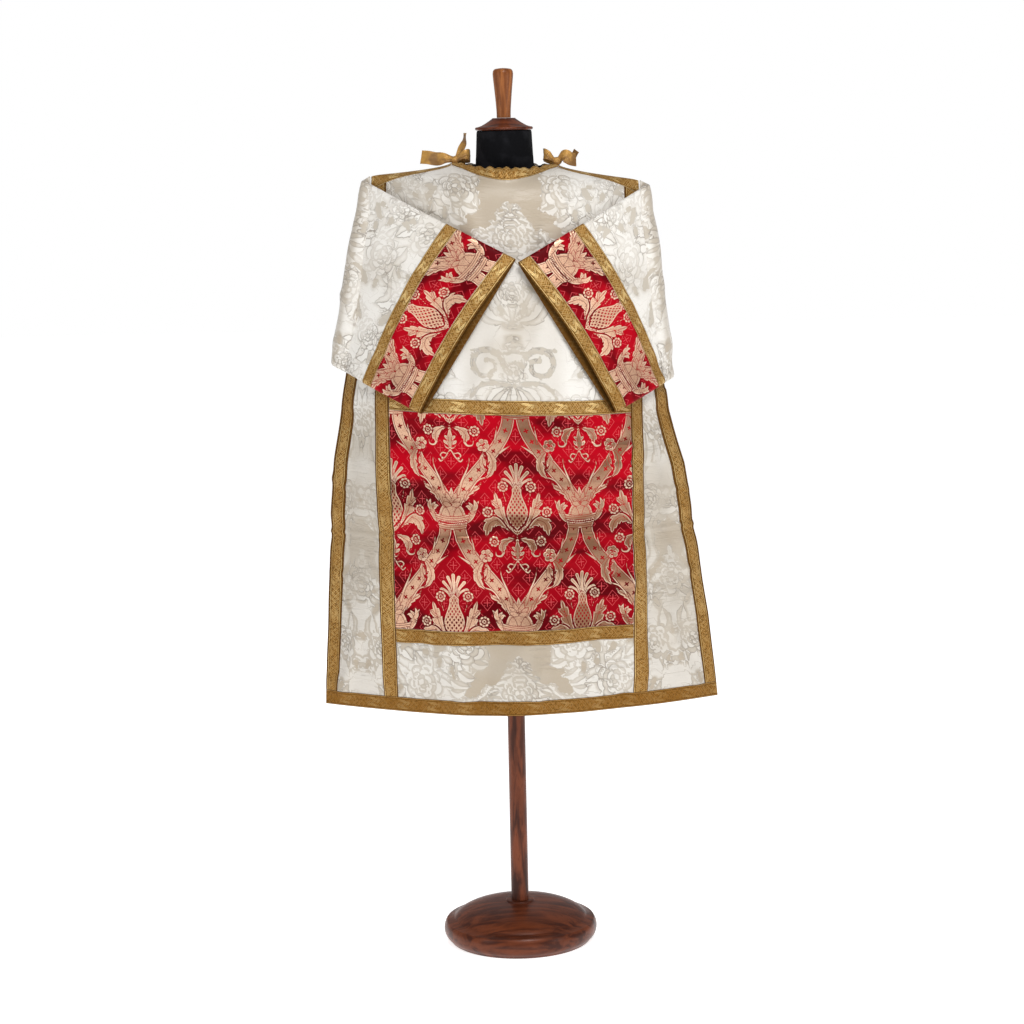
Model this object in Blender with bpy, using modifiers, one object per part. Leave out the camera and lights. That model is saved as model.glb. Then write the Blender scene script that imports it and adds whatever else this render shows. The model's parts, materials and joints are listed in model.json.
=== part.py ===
"""A Roman dalmatic on a limbless dress form.

Metres, +Z up. The front of the garment faces -Y and the form's axis is the Z axis.
Cloth is a thin wall through sections; every trim on a panel is made from that panel's
own points, moved out. The sleeves are flat tubes that fold forward over the chest.
"""

import math

import bmesh
import bpy
import numpy as np

# Cloth and trim
WALL = 0.0018               # ivory damask with its interlining and lining
TRIM_WALL = 0.0008          # galloon and apparel
GAP = 0.0003                # between neighbouring pieces
SEAM_STAND_OFF = 0.0018     # armhole seam, which clears the slanted edge of the panel
SEAM_TILT_ROOM = 2.0        # shoulder seam: room for the wall's slanted edge
TRIM_LIFT = WALL / 2 + GAP + TRIM_WALL / 2
TRIM_INSET = 0.014          # share of a grid cell left free where two trims butt
SHOULDER_END_INSET = 0.45   # the same at the armhole seam
SIDE_START_INSET = 0.10

# Body of the dalmatic
HEM_HEIGHT = 0.490
NECK_HALF_WIDTH = 0.100
NECK_DEPTH = {"front": 0.066, "back": 0.056}
NECK_ROUND = 1.5            # the neckline runs into the shoulder seam in a soft curve
NECK_HEIGHT = 1.505         # middle of the neckline
NECK_SIDE_HEIGHT = 1.511    # where the neckline meets the shoulder
SHOULDER_DROP = 0.027       # from the side of the neck to the shoulder point
SHOULDER_REACH = 0.155
SHOULDER_CURVE = 0.6
SHOULDER_TURN = 0.066       # height in which the cloth turns down over the shoulder
LEAN = 0.036                # sideways slope of the shoulders, lower at +X
LEAN_HEIGHTS = (0.66, 1.06)  # the lean fades out between these

GALLOON = 0.027             # width of the gold galloon on the body
CLAVUS_INNER = 0.2225       # inner edge of each upright galloon
CLAVUS_OUTER = CLAVUS_INNER + GALLOON
SIDE_GALLOON = 0.024
APPAREL_TOP = 1.053
APPAREL_BOTTOM = 0.651

# Sections of the two panels, from the hem up. "round" is the exponent of the section.
SECTION_COLUMNS = ("height", "left", "right", "front", "back", "edge", "round")
SECTIONS = (
    (0.490, 0.365, 0.388, 0.190, 0.150, 0.048, 1.6),
    (0.650, 0.357, 0.372, 0.186, 0.147, 0.041, 2.1),
    (0.850, 0.346, 0.344, 0.178, 0.141, 0.031, 2.3),
    (0.950, 0.336, 0.330, 0.173, 0.138, 0.024, 2.4),
    (1.050, 0.320, 0.304, 0.166, 0.133, 0.014, 2.4),
    (1.140, 0.304, 0.286, 0.156, 0.128, 0.006, 2.4),
    (1.200, 0.289, 0.276, 0.149, 0.123, 0.008, 2.4),
    (1.300, 0.270, 0.262, 0.135, 0.112, 0.009, 2.4),
    (1.400, 0.256, 0.2545, 0.114, 0.096, 0.008, 2.4),
    (1.520, 0.2515, 0.2515, 0.100, 0.084, 0.006, 2.4),
)

# Grid of a panel: distances from the centre line, then shares of the rest of the width
COLUMNS_IN_METRES = (0.0, 0.030, 0.056, 0.080, NECK_HALF_WIDTH, 0.140, 0.182,
                     CLAVUS_INNER, CLAVUS_OUTER)
OUTER_COLUMNS = 2
ROWS_DOWN_THE_CLOTH = (0.0, 0.013, 0.026, 0.045, 0.070, 0.100)
ROW_HEIGHTS = (1.360, 1.300, 1.245, 1.195, 1.158, 1.140, APPAREL_TOP + GALLOON, APPAREL_TOP,
               0.920, 0.785, APPAREL_BOTTOM, APPAREL_BOTTOM - GALLOON, 0.571,
               HEM_HEIGHT + GALLOON, HEM_HEIGHT)
SHOULDER_BAND_ROW = 2       # row at the lower edge of the neck and shoulder galloons
UNDERARM_ROW = 11           # row at the foot of the armhole
APPAREL_ROWS = (13, 16)
HEM_BAND_ROW = 19
NECK_COLUMN = COLUMNS_IN_METRES.index(NECK_HALF_WIDTH)
CLAVUS_COLUMN = COLUMNS_IN_METRES.index(CLAVUS_INNER)

# Sleeves: flat tubes folded forward; each corner is (x, z) as seen from the front
SLEEVE_CORNERS = {
    "left": {"fold_top": (-0.266, 1.486), "fold_bottom": (-0.334, 1.140),
             "cuff_top": (0.0145, 1.339), "cuff_bottom": (-0.165, 1.060)},
    "right": {"fold_top": (0.268, 1.468), "fold_bottom": (0.310, 1.103),
              "cuff_top": (0.0225, 1.333), "cuff_bottom": (0.195, 1.052)},
}
FOLD_REACH = 0.020          # distance in which the sleeve turns over in front of the body
CLEAR_AT_FOLD = 0.027       # middle of the tube in front of the panel
CLEAR_AT_CUFF = 0.0165      # the same from CLEAR_REACH past the fold
CLEAR_REACH = 0.160
HALF_DEPTH_AT_FOLD = 0.0065 # of the flattened tube
HALF_DEPTH_AT_CUFF = 0.0068
HALF_DEPTH_OF_CREASE = 0.0030  # along the top and bottom folds of the tube
HALF_DEPTH_LEAST = 0.0018   # where the seam reaches the shoulder
ARMHOLE_OPENING = 0.035     # distance in which the tube takes its own depth
OUTER_LAYER_PULL = 0.011    # the outer layer ends this far short, because it turns outside
PULL_FADE = 0.100           # distance behind the cuff in which that starts to even out
CUFF_GALLOON = 0.024
CUFF_APPAREL = 0.096
CUFF_STATIONS = (0.0, CUFF_GALLOON, CUFF_GALLOON + CUFF_APPAREL / 2,
                 CUFF_GALLOON + CUFF_APPAREL, 2 * CUFF_GALLOON + CUFF_APPAREL)
ARMHOLE_STATIONS = (0.0, 0.008, 0.016, 0.026, 0.042)  # from the armhole seam
UPPER_SLEEVE_SHARES = (0.33, 0.67)  # of the sleeve between those and the cuff

# Dress form
BASE_RADIUS = 0.150
BASE_FOOT_RADIUS = 0.138
BASE_HEIGHT = 0.078
BASE_COLLAR = 0.028         # radius of the flat that the pole stands on
POLE_RADIUS = 0.017
TORSO_BOTTOM = 0.780
NECK_TOP = 1.5745
CAP_HEIGHT = 0.0225
FINIAL_RADIUS = 0.0192
TOTAL_HEIGHT = 1.690
RING_POINTS = 32

# Rings of the padded torso from the bottom up: height, half width, half depth, shift in y
TORSO = (
    (0.780, 0.158, 0.104, 0.004),
    (0.792, 0.172, 0.116, 0.004),
    (0.840, 0.178, 0.120, 0.004),
    (0.920, 0.170, 0.112, 0.002),
    (1.010, 0.150, 0.098, 0.000),
    (1.070, 0.146, 0.094, -0.002),
    (1.160, 0.160, 0.101, -0.004),
    (1.250, 0.178, 0.104, -0.004),
    (1.330, 0.190, 0.098, -0.004),
    (1.395, 0.199, 0.084, -0.002),
    (1.435, 0.202, 0.068, 0.000),
    (1.458, 0.198, 0.054, 0.000),
    (1.472, 0.186, 0.043, 0.000),
)
SHOULDER_RINGS = (          # half width, half depth, distance under the cloth
    (0.168, 0.041, 0.0009),
    (0.145, 0.043, 0.0009),
    (0.120, 0.045, 0.0009),
    (0.096, 0.046, 0.0050),
    (0.074, 0.047, 0.0020),
)
NECK_RINGS = (              # columns as in TORSO
    (1.508, 0.0570, 0.0480, 0.000),
    (1.521, 0.0545, 0.0505, 0.000),
    (1.548, 0.0530, 0.0530, 0.000),
    (1.5700, 0.0520, 0.0520, 0.000),
    (NECK_TOP, 0.0505, 0.0505, 0.000),
)

# Shoulder ties: the knot's (x, y), and (x, y, z) along each strip's centre line from the knot
RIBBON_WIDTH = 0.024
TAIL_B_SHARE = 0.55         # width of the second tail and of the loop, of the ribbon's own
LOOP_SHARE = 0.62
RIBBON_TAPER = 0.45         # of a strip's width where it leaves the knot
RIBBON_WALL = 0.0012
KNOT_SIZE = (0.009, 0.008, 0.008)
TIES = {
    "left": {
        "knot": (-0.092, -0.012),
        "tail_a": ((-0.005, 0.000, 0.002), (-0.024, -0.002, 0.006), (-0.042, -0.001, 0.003),
                   (-0.062, 0.003, 0.006)),
        "tail_b": ((0.003, 0.002, 0.005), (0.011, 0.004, 0.018), (0.018, 0.006, 0.032),
                   (0.0205, 0.007, 0.047)),
        "loop": ((0.005, -0.003, 0.001), (0.014, -0.010, 0.006), (0.021, -0.006, 0.005),
                 (0.021, 0.003, 0.001), (0.013, 0.006, -0.001), (0.005, 0.004, 0.001)),
    },
    "right": {
        "knot": (0.098, -0.010),
        "tail_a": ((0.005, 0.000, 0.003), (0.015, -0.003, 0.008), (0.026, -0.002, 0.003),
                   (0.034, 0.002, 0.004)),
        "tail_b": ((0.004, 0.003, 0.004), (0.016, 0.009, 0.010), (0.030, 0.010, 0.006),
                   (0.037, 0.009, 0.017)),
        "loop": ((-0.005, -0.003, 0.001), (-0.012, -0.009, 0.007), (-0.020, -0.006, 0.009),
                 (-0.019, 0.003, 0.006), (-0.011, 0.006, 0.002), (-0.005, 0.004, 0.001)),
    },
}

# Finishes: base colour, roughness, metallic
FINISHES = {
    "ivory_damask": ((0.79, 0.74, 0.66), 0.50, 0.0),
    "crimson_lampas": ((0.56, 0.012, 0.028), 0.45, 0.0),
    "gold_galloon": ((0.60, 0.36, 0.085), 0.38, 0.6),
    "gold_ribbon": ((0.42, 0.22, 0.045), 0.45, 0.2),
    "black_jersey": ((0.010, 0.010, 0.013), 0.90, 0.0),
    "mahogany": ((0.085, 0.018, 0.008), 0.25, 0.0),
    "light_wood": ((0.36, 0.13, 0.038), 0.30, 0.0),
}


def clear_scene():
    for item in list(bpy.data.objects):
        bpy.data.objects.remove(item, do_unlink=True)


def make_collection(name):
    collection = bpy.data.collections.new(name)
    bpy.context.scene.collection.children.link(collection)
    return collection


def finish(name):
    """The material of this name, made the first time it is asked for."""
    material = bpy.data.materials.get(name)
    if material:
        return material
    colour, roughness, metallic = FINISHES[name]
    material = bpy.data.materials.new(name)
    material.use_nodes = True
    shader = material.node_tree.nodes["Principled BSDF"]
    shader.inputs["Base Color"].default_value = (*colour, 1.0)
    shader.inputs["Roughness"].default_value = roughness
    shader.inputs["Metallic"].default_value = metallic
    material.diffuse_color = (*colour, 1.0)
    return material


def add_mesh(name, mesh, material, collection):
    mesh.materials.append(finish(material))
    item = bpy.data.objects.new(name, mesh)
    collection.objects.link(item)
    return item


def smooth_step(share):
    share = np.clip(share, 0.0, 1.0)
    return share * share * (3.0 - 2.0 * share)


def quarter_round(share):
    """Height of a quarter circle: 0 at 0, 1 from 1 on, level where it ends."""
    return np.sqrt(1.0 - (1.0 - np.clip(share, 0.0, 1.0)) ** 2)


def unit(vectors):
    return vectors / np.maximum(np.linalg.norm(vectors, axis=-1, keepdims=True), 1e-12)


# Grids of points ---------------------------------------------------------------------------


def grid_normals(points, wrap=False, flip=False):
    """Vertex normals of a grid (rows, columns, 3), scaled so that an offset keeps its width."""
    across = np.roll(points, -1, axis=1) - points if wrap else points[:, 1:] - points[:, :-1]
    down = points[1:] - points[:-1]
    corner = np.roll(down, -1, axis=1) if wrap else down[:, 1:]
    start = down if wrap else down[:, :-1]
    faces = unit(np.cross(start + corner, across[1:] + across[:-1]))
    total = np.zeros_like(points)
    count = np.zeros(points.shape[:2] + (1,))
    for row in (0, 1):
        for column in (0, 1):
            rows = slice(row, row + faces.shape[0])
            if wrap:
                total[rows] += np.roll(faces, column, axis=1)
                count[rows] += 1
            else:
                columns = slice(column, column + faces.shape[1])
                total[rows, columns] += faces
                count[rows, columns] += 1
    spread = np.linalg.norm(total, axis=-1, keepdims=True) / count
    return unit(total) / np.clip(spread, 0.6, 1.0) * (-1 if flip else 1)


def sheet(name, points, wall, material, collection, wrap=False, flip=False, turn_row=99):
    """A grid of points as an open surface with Solidify, half its wall on each side.
    Every cell is cut on the same diagonal, so that a trim's facets match its panel's.
    From turn_row on, where a trim turns back on itself, they are cut on the other one."""
    rows, columns = points.shape[:2]
    last = columns if wrap else columns - 1
    faces = []
    for row in range(rows - 1):
        for column in range(last):
            beside = (column + 1) % columns
            here, under = row * columns, (row + 1) * columns
            a, b, c, d = here + column, under + column, under + beside, here + beside
            pair = [(a, b, c), (a, c, d)] if row < turn_row else [(a, b, d), (b, c, d)]
            faces += [face[::-1] for face in pair] if flip else pair
    mesh = bpy.data.meshes.new(name)
    mesh.from_pydata(points.reshape(-1, 3).tolist(), [], faces)
    mesh.update()
    mesh.shade_smooth()
    item = add_mesh(name, mesh, material, collection)
    wall_modifier = item.modifiers.new("Wall", "SOLIDIFY")
    wall_modifier.thickness = wall
    wall_modifier.offset = 0.0
    wall_modifier.use_even_offset = True
    return item


def sample(grid, rows, columns):
    """The grid (rows, columns, 3) read at fractional row and column numbers."""
    rows = np.asarray(rows, float)
    columns = np.asarray(columns, float)
    row = np.minimum(rows.astype(int), grid.shape[0] - 2)
    column = np.minimum(columns.astype(int), grid.shape[1] - 2)
    down = (rows - row)[:, None, None]
    along = (columns - column)[None, :, None]
    upper = grid[row][:, column] * (1 - along) + grid[row][:, column + 1] * along
    lower = grid[row + 1][:, column] * (1 - along) + grid[row + 1][:, column + 1] * along
    return upper * (1 - down) + lower * down


def stations(first, last, free_first=True, free_last=True):
    """Whole numbers from first to last, with the ends drawn in where a trim has to stop."""
    numbers = [float(n) for n in range(first, last + 1)]
    numbers[0] += TRIM_INSET if free_first else 0.0
    numbers[-1] -= TRIM_INSET if free_last else 0.0
    return numbers


# The body panels ---------------------------------------------------------------------------


def section(column, height):
    place = SECTION_COLUMNS.index(column)
    return np.interp(height, [row[0] for row in SECTIONS], [row[place] for row in SECTIONS])


def shoulder_height(x):
    """Top edge of the cloth above this x, before the lean."""
    x = np.abs(x)
    neck = NECK_HEIGHT + (NECK_SIDE_HEIGHT - NECK_HEIGHT) * (x / NECK_HALF_WIDTH) ** 2
    reach = np.clip((x - NECK_HALF_WIDTH) / SHOULDER_REACH, 0.0, None)
    return np.where(x < NECK_HALF_WIDTH, neck,
                    NECK_SIDE_HEIGHT - SHOULDER_DROP * reach ** SHOULDER_CURVE)


def lean(x, height):
    low, high = LEAN_HEIGHTS
    return -LEAN * x * smooth_step((height - low) / (high - low))


def depth(face, x, height):
    """How far the cloth stands from the plane of the shoulder seams, at x and height."""
    half_width = np.where(x < 0, section("left", height), section("right", height))
    share = np.clip(np.abs(x) / half_width, 0.0, 1.0)
    edge = section("edge", height)
    full = edge + (section(face, height) - edge) * (1 - share ** section("round", height))
    neck_share = np.clip(np.abs(x) / NECK_HALF_WIDTH, 0.0, 1.0)
    neckline = NECK_DEPTH[face] * (1 - neck_share ** 2) ** NECK_ROUND
    start = np.maximum(neckline, GAP / 2)
    turn = quarter_round((shoulder_height(x) - height) / SHOULDER_TURN)
    return start + (np.maximum(full, start) - start) * turn


def column_x(number, height):
    """x of a grid column: set distances near the centre, shares of the width outside."""
    side = -1 if number < 0 else 1
    number = abs(number)
    inner = len(COLUMNS_IN_METRES) - 1
    if number <= inner:
        return side * COLUMNS_IN_METRES[number] * np.ones_like(height)
    edge = section("left" if side < 0 else "right", height)
    if number == inner + OUTER_COLUMNS:
        return side * edge
    spare = np.maximum(edge - COLUMNS_IN_METRES[inner], 1e-4)
    return side * (edge - np.minimum(SIDE_GALLOON, spare / 2))


def panel_column(face, number):
    """One column of the panel's grid: down the cloth first, then at set heights."""
    top = float(shoulder_height(column_x(number, np.array(NECK_HEIGHT))))
    turn = top - SHOULDER_TURN * (1 - np.cos(np.linspace(0, math.pi / 2, 60)))
    heights = np.concatenate([turn, np.linspace(turn[-1], HEM_HEIGHT, 120)[1:]])
    x = column_x(number, heights)
    y = -depth(face, x, heights) if face == "front" else depth(face, x, heights)
    steps = np.hypot(np.diff(y), np.diff(heights))
    length = np.concatenate([[0.0], np.cumsum(steps)])
    at_height = np.array(ROW_HEIGHTS)
    row_heights = np.concatenate([np.interp(ROWS_DOWN_THE_CLOTH, length, heights), at_height])
    row_x = column_x(number, row_heights)
    row_y = np.interp(-row_heights, -heights, y)
    tilt = (row_heights[0] - row_heights[1]) / ROWS_DOWN_THE_CLOTH[1]
    seam_room = GAP / 2 + SEAM_TILT_ROOM * tilt * WALL / 2
    row_y[0] = math.copysign(max(abs(row_y[0]), seam_room), row_y[0])
    return np.stack([row_x, row_y, row_heights + lean(row_x, row_heights)], axis=1)


def panel_grid(face):
    last = len(COLUMNS_IN_METRES) - 1 + OUTER_COLUMNS
    return np.stack([panel_column(face, n) for n in range(-last, last + 1)], axis=1)


def make_panel(face, collection):
    """The panel and all that is sewn on it. It returns the panel's grid."""
    points = panel_grid(face)
    flip = face == "back"
    sheet(face + "_panel", points, WALL, "ivory_damask", collection, flip=flip)
    normals = grid_normals(points, flip=flip)
    middle = points.shape[1] // 2
    last_row = points.shape[0] - 1
    last_column = points.shape[1] - 1

    def trim(name, rows, columns, material):
        surface = sample(points + normals * TRIM_LIFT, rows, columns)
        sheet(face + "_" + name, surface, TRIM_WALL, material, collection, flip=flip)

    band = SHOULDER_BAND_ROW
    top, bottom = APPAREL_ROWS
    inner, outer = CLAVUS_COLUMN, CLAVUS_COLUMN + 1
    trim("neck_galloon", [0, 1, band], stations(middle - NECK_COLUMN, middle + NECK_COLUMN),
         "gold_galloon")
    trim("hem_galloon", [HEM_BAND_ROW, last_row], stations(0, last_column, False, False),
         "gold_galloon")
    across = stations(middle - inner, middle + inner)
    trim("upper_galloon", stations(top - 1, top, False), across, "gold_galloon")
    trim("lower_galloon", stations(bottom, bottom + 1, True, False), across, "gold_galloon")
    trim("apparel", stations(top, bottom), across, "crimson_lampas")
    for side, name in ((-1, "left"), (1, "right")):
        clavus = sorted((middle + side * inner, middle + side * outer))
        trim("clavus_" + name, stations(band, HEM_BAND_ROW), stations(*clavus),
             "gold_galloon")
        shoulder = [middle + side * n for n in stations(NECK_COLUMN, middle, True, False)]
        shoulder[-1] -= side * SHOULDER_END_INSET
        trim("shoulder_galloon_" + name, [0, 1, band - TRIM_INSET], sorted(shoulder),
             "gold_galloon")
        edge = [middle + side * (middle - 1 + TRIM_INSET), middle + side * middle]
        rows = stations(UNDERARM_ROW, HEM_BAND_ROW)
        rows[0] = UNDERARM_ROW + SIDE_START_INSET
        trim("side_galloon_" + name, rows, sorted(edge), "gold_galloon")
    return points


# The sleeves -------------------------------------------------------------------------------


class Sleeve:
    """Middle surface of one folded sleeve, read by its place down the armhole and by the
    distance back from the cuff's end, and the two layers of the tube on either side."""

    def __init__(self, side, armhole):
        self.sign = -1 if side == "left" else 1
        self.corners = {name: np.array(xz) for name, xz in SLEEVE_CORNERS[side].items()}
        self.armhole_x = armhole[:, 0]
        self.heights = armhole[:, 2]
        self.armhole_depth = np.maximum(np.abs(armhole[:, 1]), HALF_DEPTH_LEAST)
        self.places = ((self.heights[0] - self.heights)
                       / (self.heights[0] - self.heights[-1]))
        paths = [self.path(number) for number in range(len(armhole))]
        self.middle = np.stack([points for points, _ in paths])
        self.lengths = np.array([length for _, length in paths])
        along = np.gradient(self.middle, axis=1)
        down = np.gradient(self.middle, axis=0)
        self.normal = unit(np.cross(along, down)) * -self.sign

    def path(self, number):
        """Out from the armhole, over the fold and across the chest, evenly spaced."""
        place = self.places[number]
        c = self.corners
        fold = c["fold_top"] * (1 - place) + c["fold_bottom"] * place
        cuff = c["cuff_top"] * (1 - place) + c["cuff_bottom"] * place
        start = np.array([self.armhole_x[number] + self.sign * SEAM_STAND_OFF,
                          self.heights[number]])
        reach = np.linalg.norm(cuff - fold)
        across = np.linspace(0.0, 1.0, 200) ** 2 * reach
        line = fold + (cuff - fold) * (across / reach)[:, None]
        clear = CLEAR_AT_FOLD + (CLEAR_AT_CUFF - CLEAR_AT_FOLD) * smooth_step(across / CLEAR_REACH)
        level = line[:, 1] - lean(line[:, 0], line[:, 1])
        target = depth("front", line[:, 0], level) + clear
        half_turn = np.interp(FOLD_REACH, across, target) / 2
        front_y = -(half_turn + (target - half_turn) * quarter_round(across / FOLD_REACH))
        back = 1 - np.linspace(0.0, 1.0, 60)[:-1] ** 2
        back_line = fold + (start - fold) * back[:, None]
        back_y = -half_turn * (1 - quarter_round(back))
        whole = np.concatenate([
            np.stack([back_line[:, 0], back_y, back_line[:, 1]], axis=1),
            np.stack([line[:, 0], front_y, line[:, 1]], axis=1),
        ])
        steps = np.linalg.norm(np.diff(whole, axis=0), axis=1)
        length = np.concatenate([[0.0], np.cumsum(steps)])
        even = np.linspace(0.0, length[-1], 240)
        points = np.stack([np.interp(even, length, whole[:, k]) for k in range(3)], axis=1)
        return points, length[-1]

    def half_depth(self, number, from_armhole, share):
        place = self.places[number]
        lens = math.sqrt(max(0.0, 1 - abs(2 * place - 1) ** 3))
        tube = HALF_DEPTH_AT_FOLD + (HALF_DEPTH_AT_CUFF - HALF_DEPTH_AT_FOLD) * share
        tube = HALF_DEPTH_OF_CREASE + (tube - HALF_DEPTH_OF_CREASE) * lens
        opened = float(smooth_step(from_armhole / ARMHOLE_OPENING))
        return self.armhole_depth[number] * (1 - opened) + tube * opened

    def point(self, number, back_from_cuff, layer, lift=0.0):
        """layer is 1 on the side that faces the body once folded, -1 on the other."""
        place = self.places[number]
        pull = OUTER_LAYER_PULL * math.sin(math.pi * place) if layer < 0 else 0.0
        length = self.lengths[number]
        pull *= 1 - float(smooth_step((back_from_cuff - PULL_FADE) / (length - PULL_FADE)))
        share = np.clip(1 - (back_from_cuff + pull) / length, 0.0, 1.0)
        where = share * (self.middle.shape[1] - 1)
        low = min(int(where), self.middle.shape[1] - 2)
        mix = where - low
        middle = self.middle[number, low] * (1 - mix) + self.middle[number, low + 1] * mix
        normal = unit(self.normal[number, low] * (1 - mix)
                      + self.normal[number, low + 1] * mix)
        thick = self.half_depth(number, share * length, share)
        return middle + normal * layer * thick

    def ring(self, distances):
        """Once round the tube: down the layer on the body's side, and up the other."""
        numbers = list(range(len(self.places)))
        order = [(n, 1) for n in numbers] + [(n, -1) for n in reversed(numbers)]
        return np.stack([self.point(n, distances[n], layer) for n, layer in order])

    def grid(self):
        """Rings from the armhole to the cuff's end."""
        cuff, turn = CUFF_STATIONS[-1], ARMHOLE_STATIONS[-1]
        plain = self.lengths - cuff - turn
        distances = [self.lengths - start for start in ARMHOLE_STATIONS]
        distances += [cuff + plain * (1 - share) for share in UPPER_SLEEVE_SHARES]
        distances += [np.full_like(plain, back) for back in reversed(CUFF_STATIONS)]
        return np.stack([self.ring(back) for back in distances])


def wrapped(grid):
    return np.concatenate([grid, grid[:, :1]], axis=1)


def make_sleeve(side, armhole, collection):
    sleeve = Sleeve(side, armhole)
    points = sleeve.grid()
    flip = side == "right"
    sheet("sleeve_" + side, points, WALL, "ivory_damask", collection, True, flip)
    normals = grid_normals(points, True, flip)
    last = points.shape[0] - 1
    outside = points + normals * TRIM_LIFT
    inside = points - normals * TRIM_LIFT
    columns = np.arange(points.shape[1])
    first = last - len(CUFF_STATIONS) + 1

    def band(name, rows, material):
        surface = sample(wrapped(outside), rows, columns)
        sheet(name, surface, TRIM_WALL, material, collection, True, flip)

    band("cuff_galloon_" + side, stations(first, first + 1, False), "gold_galloon")
    band("cuff_apparel_" + side, stations(first + 1, last - 1), "crimson_lampas")
    onward = unit(points[last] - points[last - 1])
    outer_end = outside[last] + onward * GAP
    inner_end = inside[last] + onward * GAP
    edge = points[last] + onward * (GAP + TRIM_LIFT)
    start = [last - 1 + TRIM_INSET]
    binding = np.stack([sample(wrapped(outside), start, columns)[0], outer_end, edge,
                        inner_end, sample(wrapped(inside), start, columns)[0]])
    sheet("cuff_binding_" + side, binding, TRIM_WALL, "gold_galloon", collection, True, flip,
          turn_row=3)


# The shoulder ties -------------------------------------------------------------------------


def ribbon_strip(name, route, width, collection):
    """A flat strip along the route, its width upright, solidified."""
    route = np.array(route)
    fine = np.linspace(0, len(route) - 1, 2 * (len(route) - 1) + 1)
    whole = np.arange(len(route))
    centre = np.stack([np.interp(fine, whole, route[:, k]) for k in range(3)], axis=1)
    centre[1:-1] = (centre[:-2] + 2 * centre[1:-1] + centre[2:]) / 4
    along = unit(np.gradient(centre, axis=0))
    upright = np.array([0.0, 0.35, 1.0])
    across = unit(upright - along * (along @ upright)[:, None])
    taper = np.linspace(RIBBON_TAPER, 1.0, len(centre))[:, None]
    half = width / 2 * taper
    points = np.stack([centre + across * half, centre - across * half], axis=1)
    return sheet(name, points, RIBBON_WALL, "gold_ribbon", collection)


def make_tie(side, collection, cutters):
    """One knotted ribbon: a knot with a loop and two tails joined to it."""
    tie = TIES[side]
    x, y = tie["knot"]
    seat = float(shoulder_height(np.array(x)) + lean(x, np.array(NECK_SIDE_HEIGHT)))
    seat += TRIM_LIFT + TRIM_WALL / 2 + GAP
    mesh = bpy.data.meshes.new("tie_" + side)
    shape = bmesh.new()
    bmesh.ops.create_uvsphere(shape, u_segments=10, v_segments=6, radius=1.0)
    bmesh.ops.scale(shape, vec=KNOT_SIZE, verts=shape.verts)
    shape.to_mesh(mesh)
    shape.free()
    mesh.shade_smooth()
    knot = add_mesh("tie_" + side, mesh, "gold_ribbon", collection)
    knot.location = (x, y, seat + KNOT_SIZE[2])
    for part, share in (("tail_a", 1.0), ("tail_b", TAIL_B_SHARE), ("loop", LOOP_SHARE)):
        strip = ribbon_strip(part + "_" + side, tie[part], RIBBON_WIDTH * share, cutters)
        strip.location = knot.location
        strip.hide_render = True
        strip.display_type = "WIRE"
        join = knot.modifiers.new(part, "BOOLEAN")
        join.operation = "UNION"
        join.object = strip
        join.solver = "EXACT"


# The dress form ----------------------------------------------------------------------------


def make_torso(collection):
    """Neck and body of the form in one smooth solid, whose shoulders carry the cloth."""
    rings = list(TORSO)
    crown = rings[-1][0]
    for half_width, half_depth, below in SHOULDER_RINGS:
        rest = float(shoulder_height(np.array(half_width))) - WALL / 2 - below
        crown = max(crown + 0.0015, rest - LEAN * half_width)
        rings.append((crown, half_width, half_depth, 0.0))
    rings += NECK_RINGS
    angles = np.linspace(0, 2 * math.pi, RING_POINTS, endpoint=False)
    shape = bmesh.new()
    loops = []
    for height, half_width, half_depth, shift in rings:
        loops.append([shape.verts.new((half_width * math.cos(a),
                                       half_depth * math.sin(a) + shift, height))
                      for a in angles])
    for below, above in zip(loops[:-1], loops[1:]):
        for n in range(RING_POINTS):
            after = (n + 1) % RING_POINTS
            shape.faces.new((below[n], below[after], above[after], above[n]))
    shape.faces.new(list(reversed(loops[0])))
    shape.faces.new(loops[-1])
    mesh = bpy.data.meshes.new("form_torso")
    shape.to_mesh(mesh)
    shape.free()
    mesh.shade_smooth()
    add_mesh("form_torso", mesh, "black_jersey", collection)


def turned(name, profile, material, collection, segments=32):
    """A profile of (radius, height), top to bottom, turned about the Z axis."""
    mesh = bpy.data.meshes.new(name)
    points = [(radius, 0.0, height) for radius, height in profile]
    edges = [(n, n + 1) for n in range(len(points) - 1)]
    mesh.from_pydata(points, edges, [])
    item = add_mesh(name, mesh, material, collection)
    screw = item.modifiers.new("Turn", "SCREW")
    screw.steps = segments
    screw.render_steps = segments
    screw.use_merge_vertices = True
    screw.merge_threshold = 0.0001
    screw.use_smooth_shade = True
    return item


def arc_points(centre, radii, start, end, count):
    """(radius, height) pairs on an ellipse, angles in degrees from the outward direction."""
    angles = np.radians(np.linspace(start, end, count))
    return [(centre[0] + radii[0] * math.cos(a), centre[1] + radii[1] * math.sin(a))
            for a in angles]


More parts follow.
